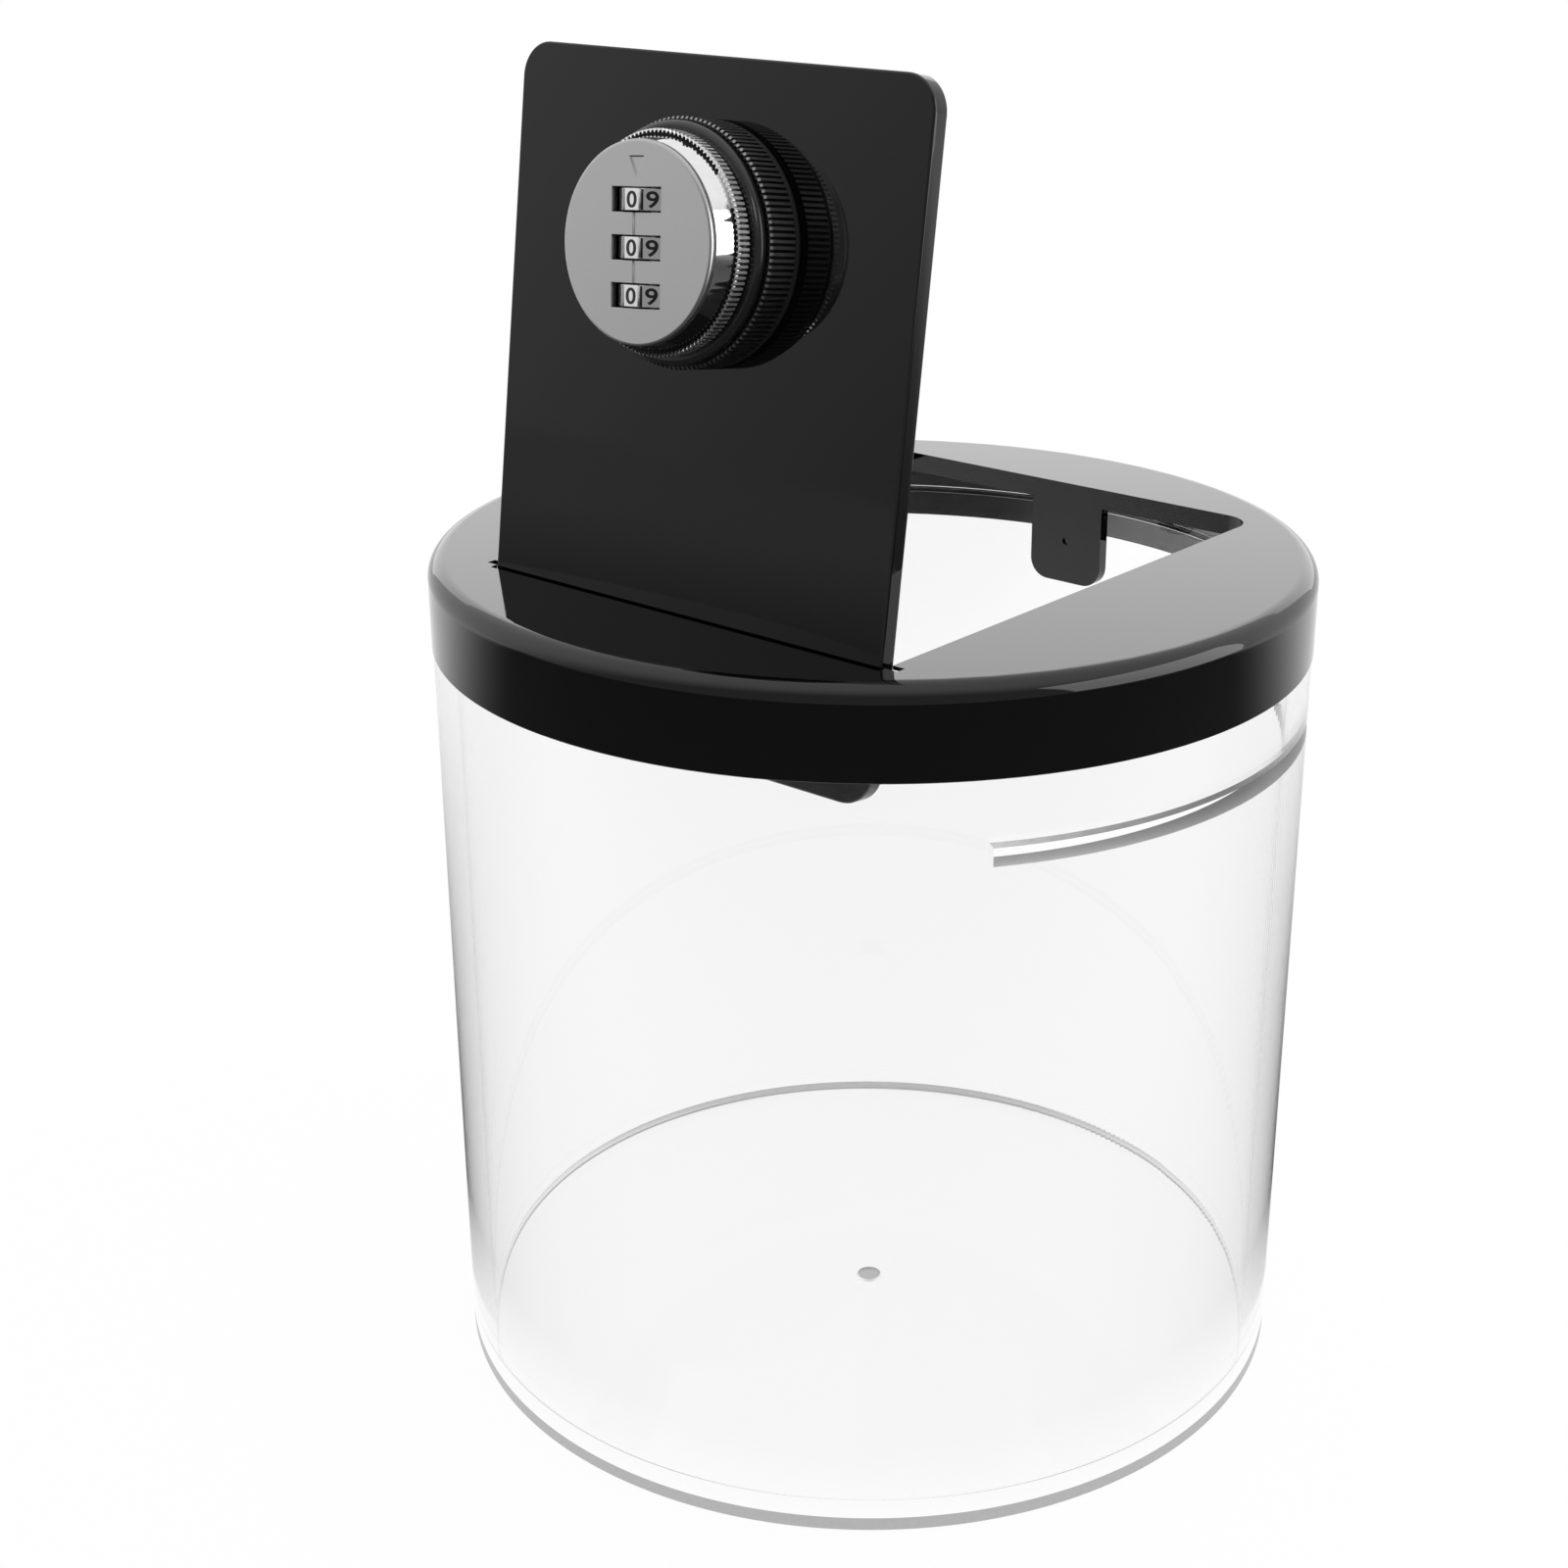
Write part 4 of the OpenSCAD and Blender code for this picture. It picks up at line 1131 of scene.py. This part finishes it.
outline = [around(x, y, k * flat_turn) for k in range(DIGITS) for x, y in pad]
wheel = prism("number_wheel", outline, -DIAL_W / 2, DIAL_W / 2)
combine(wheel, bar("hub", AXLE_R + WHEEL_FIT, -DIAL_W, DIAL_W, BORE_STEPS))
soften(wheel, EDGE_WHEEL)
moved(wheel, Matrix.Rotation(math.pi / 2, 4, "X"))
wheel.data.materials.append(WHEEL)
wheel.data.materials.append(DIGIT_PAINT_AND_GROOVE_SHADE)


def groove_face(place):
    """Faces of the grooves between the flats."""
    in_groove = AXLE_R * 2 < math.hypot(place.x, place.z) < apothem - GROOVE_DEEP / 2
    return in_groove and abs(place.y) < DIAL_W / 2 - EDGE_WHEEL


# Painted shade: the grooves get the black, as the shade inside them.
paint(wheel, 1, groove_face)
print("a flat is", round(2 * pad_half, 2), "mm wide")

# %% [markdown]
# The digits are text, turned to mesh, moved out to the wheel's radius and turned to their flats. One wheel
# is made and copied, and each copy has its own mesh. With the lock's pieces made, its three lamps are told
# to light them alone.

# %% Digits and the three wheels
DIGIT_H, DIGIT_WIDER, DIGIT_BOLD, DIGIT_RAISE = 2.1, 1.25, 0.05, 0.03
CAP_SHARE = 0.7
digit_pieces = []
for k in range(DIGITS):
    bpy.ops.object.select_all(action="DESELECT")
    bpy.ops.object.text_add()
    digit = bpy.context.object
    digit.data.body = str(k)
    digit.data.align_x = "CENTER"
    digit.data.align_y = "CENTER"
    digit.data.size = DIGIT_H / CAP_SHARE * MM
    digit.data.offset = DIGIT_BOLD * MM
    digit.data.extrude = DIGIT_RAISE * MM
    digit.scale.x = DIGIT_WIDER
    bpy.ops.object.convert(target="MESH")
    digit = bpy.context.object
    bpy.ops.object.transform_apply()
    xs = [v.co.x for v in digit.data.vertices]
    ys = [v.co.y for v in digit.data.vertices]
    centre = Matrix.Translation((-(min(xs) + max(xs)) / 2, -(min(ys) + max(ys)) / 2, apothem * MM))
    bpy.ops.object.mode_set(mode="EDIT")
    close_mesh()
    moved(digit, Matrix.Rotation(-k * flat_turn, 4, "Y") @ centre)
    digit.data.materials.clear()
    digit.data.materials.append(DIGIT_PAINT_AND_GROOVE_SHADE)
    digit_pieces.append(digit)
activate(wheel)
for digit in digit_pieces:
    digit.select_set(True)
bpy.ops.object.join()
wheels = []
for number, row in enumerate(dial_rows, start=1):
    copy = wheel.copy()
    copy.data = wheel.data.copy()
    copy.name = "number_wheel_" + str(number)
    bpy.context.scene.collection.objects.link(copy)
    stand = KNOB @ Matrix.Translation(Vector((0, row, axle_z)) * MM)
    wheels.append(deliver(copy, [], "dial_" + str(number), "dial_metal", "dial_" + str(number), at=stand))
bpy.data.objects.remove(wheel)
light_only(key_lamp, face, knob, *wheels)
light_only(front_lamp, housing, knob)
light_only(side_lamp, face)

# %% [markdown]
# Behind the flap sit the parts that hold the lock: a washer and a six-sided nut on the barrel. Stamped and
# turned steel parts have broken edges and bright zinc. The nut is a hexagon trimmed by a turned shape, which
# gives its corners their curved chamfers.

# %% Washer and nut
NUT_WASHER_R, NUT_WASHER_T, NUT_WALL, NUT_T = 15.5, 1.0, 2.2, 4.0
NUT_CHAMFER = math.radians(30)
EDGE_STEEL = 0.2
flap_back = -FLAP_T


def ring(name, radius, bore, low, high):
    """A flat washer between two heights in mm, with broken edges."""
    return soften(turned(name, [(bore, low), (radius, low), (radius, high), (bore, high)]), EDGE_STEEL)


nut_top = flap_back - NUT_WASHER_T
nut_low = nut_top - NUT_T
washer = ring("nut_washer_ring", NUT_WASHER_R, hole_r, nut_top, flap_back)
deliver(washer, [ZINC], "flap", "steel", "nut_washer", at=LOCK)
nut_half = BARREL_R + NUT_WALL
nut_corner = nut_half / math.cos(math.pi / 6)
hexagon = [(nut_corner * math.cos(i * math.pi / 3), nut_corner * math.sin(i * math.pi / 3)) for i in range(6)]
nut = prism("hex_nut", hexagon, nut_low, nut_top)
lead = (nut_corner - nut_half) * math.tan(NUT_CHAMFER)
chamfered = turned(
    "nut_chamfer",
    [
        (0, nut_low), (nut_half, nut_low), (nut_corner, nut_low + lead),
        (nut_corner, nut_top - lead), (nut_half, nut_top), (0, nut_top),
    ],
)
combine(nut, chamfered, "INTERSECT")
combine(nut, bar("tapped", BARREL_R + SQUARE_FIT, nut_low - CUT_PAST, nut_top + CUT_PAST))
deliver(nut, [ZINC], "flap", "steel", "lock_nut", at=LOCK)

# %% [markdown]
# The cam is the tongue that turns under the keeper tab. It is a stamped plate with a round hub and a square
# hole, and it sits on the spindle's square end. A washer and a pan-head screw with a driver slot hold it
# there.

# %% Cam, cam washer and screw
CAM_T, CAM_W, CAM_HUB_R, CAM_ROUND, CAM_REACH, TANG_W = 2.0, 13.0, 8.0, 3.0, 30.3, 5.4
CAM_WASHER_R, CAM_WASHER_T = 5.5, 0.8
SCREW_R, SCREW_L, SCREW_HEAD_R, SCREW_HEAD_H, SCREW_STEPS = 1.7, 9.0, 3.6, 2.2, 64
HEAD_CROWN, DRIVER_W = 0.7, 0.9
cam_low = CAM_TOP - CAM_T
tongue_low, tongue_high = (-CAM_REACH, -CAM_W / 2, cam_low), (0, CAM_W / 2, CAM_TOP)
cam = plate("cam_tongue", tongue_low, tongue_high, [(lambda p: True, CAM_ROUND)])
combine(cam, bar("cam_hub", CAM_HUB_R, cam_low, CAM_TOP), "UNION")
square = TANG_W / 2 + SQUARE_FIT
square_low, square_high = (-square, -square, cam_low - CUT_PAST), (square, square, CAM_TOP + CUT_PAST)
combine(cam, block("square_hole", square_low, square_high))
soften(cam, EDGE_STEEL)
deliver(cam, [ZINC], "knob", "steel", "cam", at=KNOB)
washer_low = cam_low - CAM_WASHER_T
cam_ring = ring("cam_washer_ring", CAM_WASHER_R, SCREW_R + SQUARE_FIT, washer_low, cam_low)
deliver(cam_ring, [ZINC], "knob", "steel", "cam_washer", at=KNOB)
head_low = washer_low - SCREW_HEAD_H
screw_top = washer_low + CAM_WASHER_T + SCREW_L
screw = turned(
    "cam_screw_pan",
    [
        (0, head_low), *arc(SCREW_HEAD_R - HEAD_CROWN, head_low + HEAD_CROWN, HEAD_CROWN, -90, 0),
        (SCREW_HEAD_R, washer_low), (SCREW_R, washer_low), (SCREW_R, screw_top), (0, screw_top),
    ],
    SCREW_STEPS,
)
driver_low = (-2 * SCREW_HEAD_R, -DRIVER_W / 2, head_low - CUT_PAST)
driver_high = (2 * SCREW_HEAD_R, DRIVER_W / 2, head_low + SCREW_HEAD_H / 2)
combine(screw, block("driver_slot", driver_low, driver_high))
soften(screw, EDGE_STEEL / 2)
deliver(screw, [ZINC], "knob", "steel", "cam_screw", at=KNOB)

# %% [markdown]
# Five CAD parts are already the right shape and hardly show: the two hinge pins, the wheels' axle, their
# click spring and the spindle. They keep their own meshes and only get a finish.

# %% Finishes on CAD parts
for name, material in (
    ("hinge_pin_left", ZINC),
    ("hinge_pin_right", ZINC),
    ("dial_axle", ZINC),
    ("dial_spring", SPRING),
    ("spindle", ZINC),
):
    mesh = frame["nodes"][name].data
    mesh.materials.clear()
    mesh.materials.append(material)
    print(name, "is", material.name)
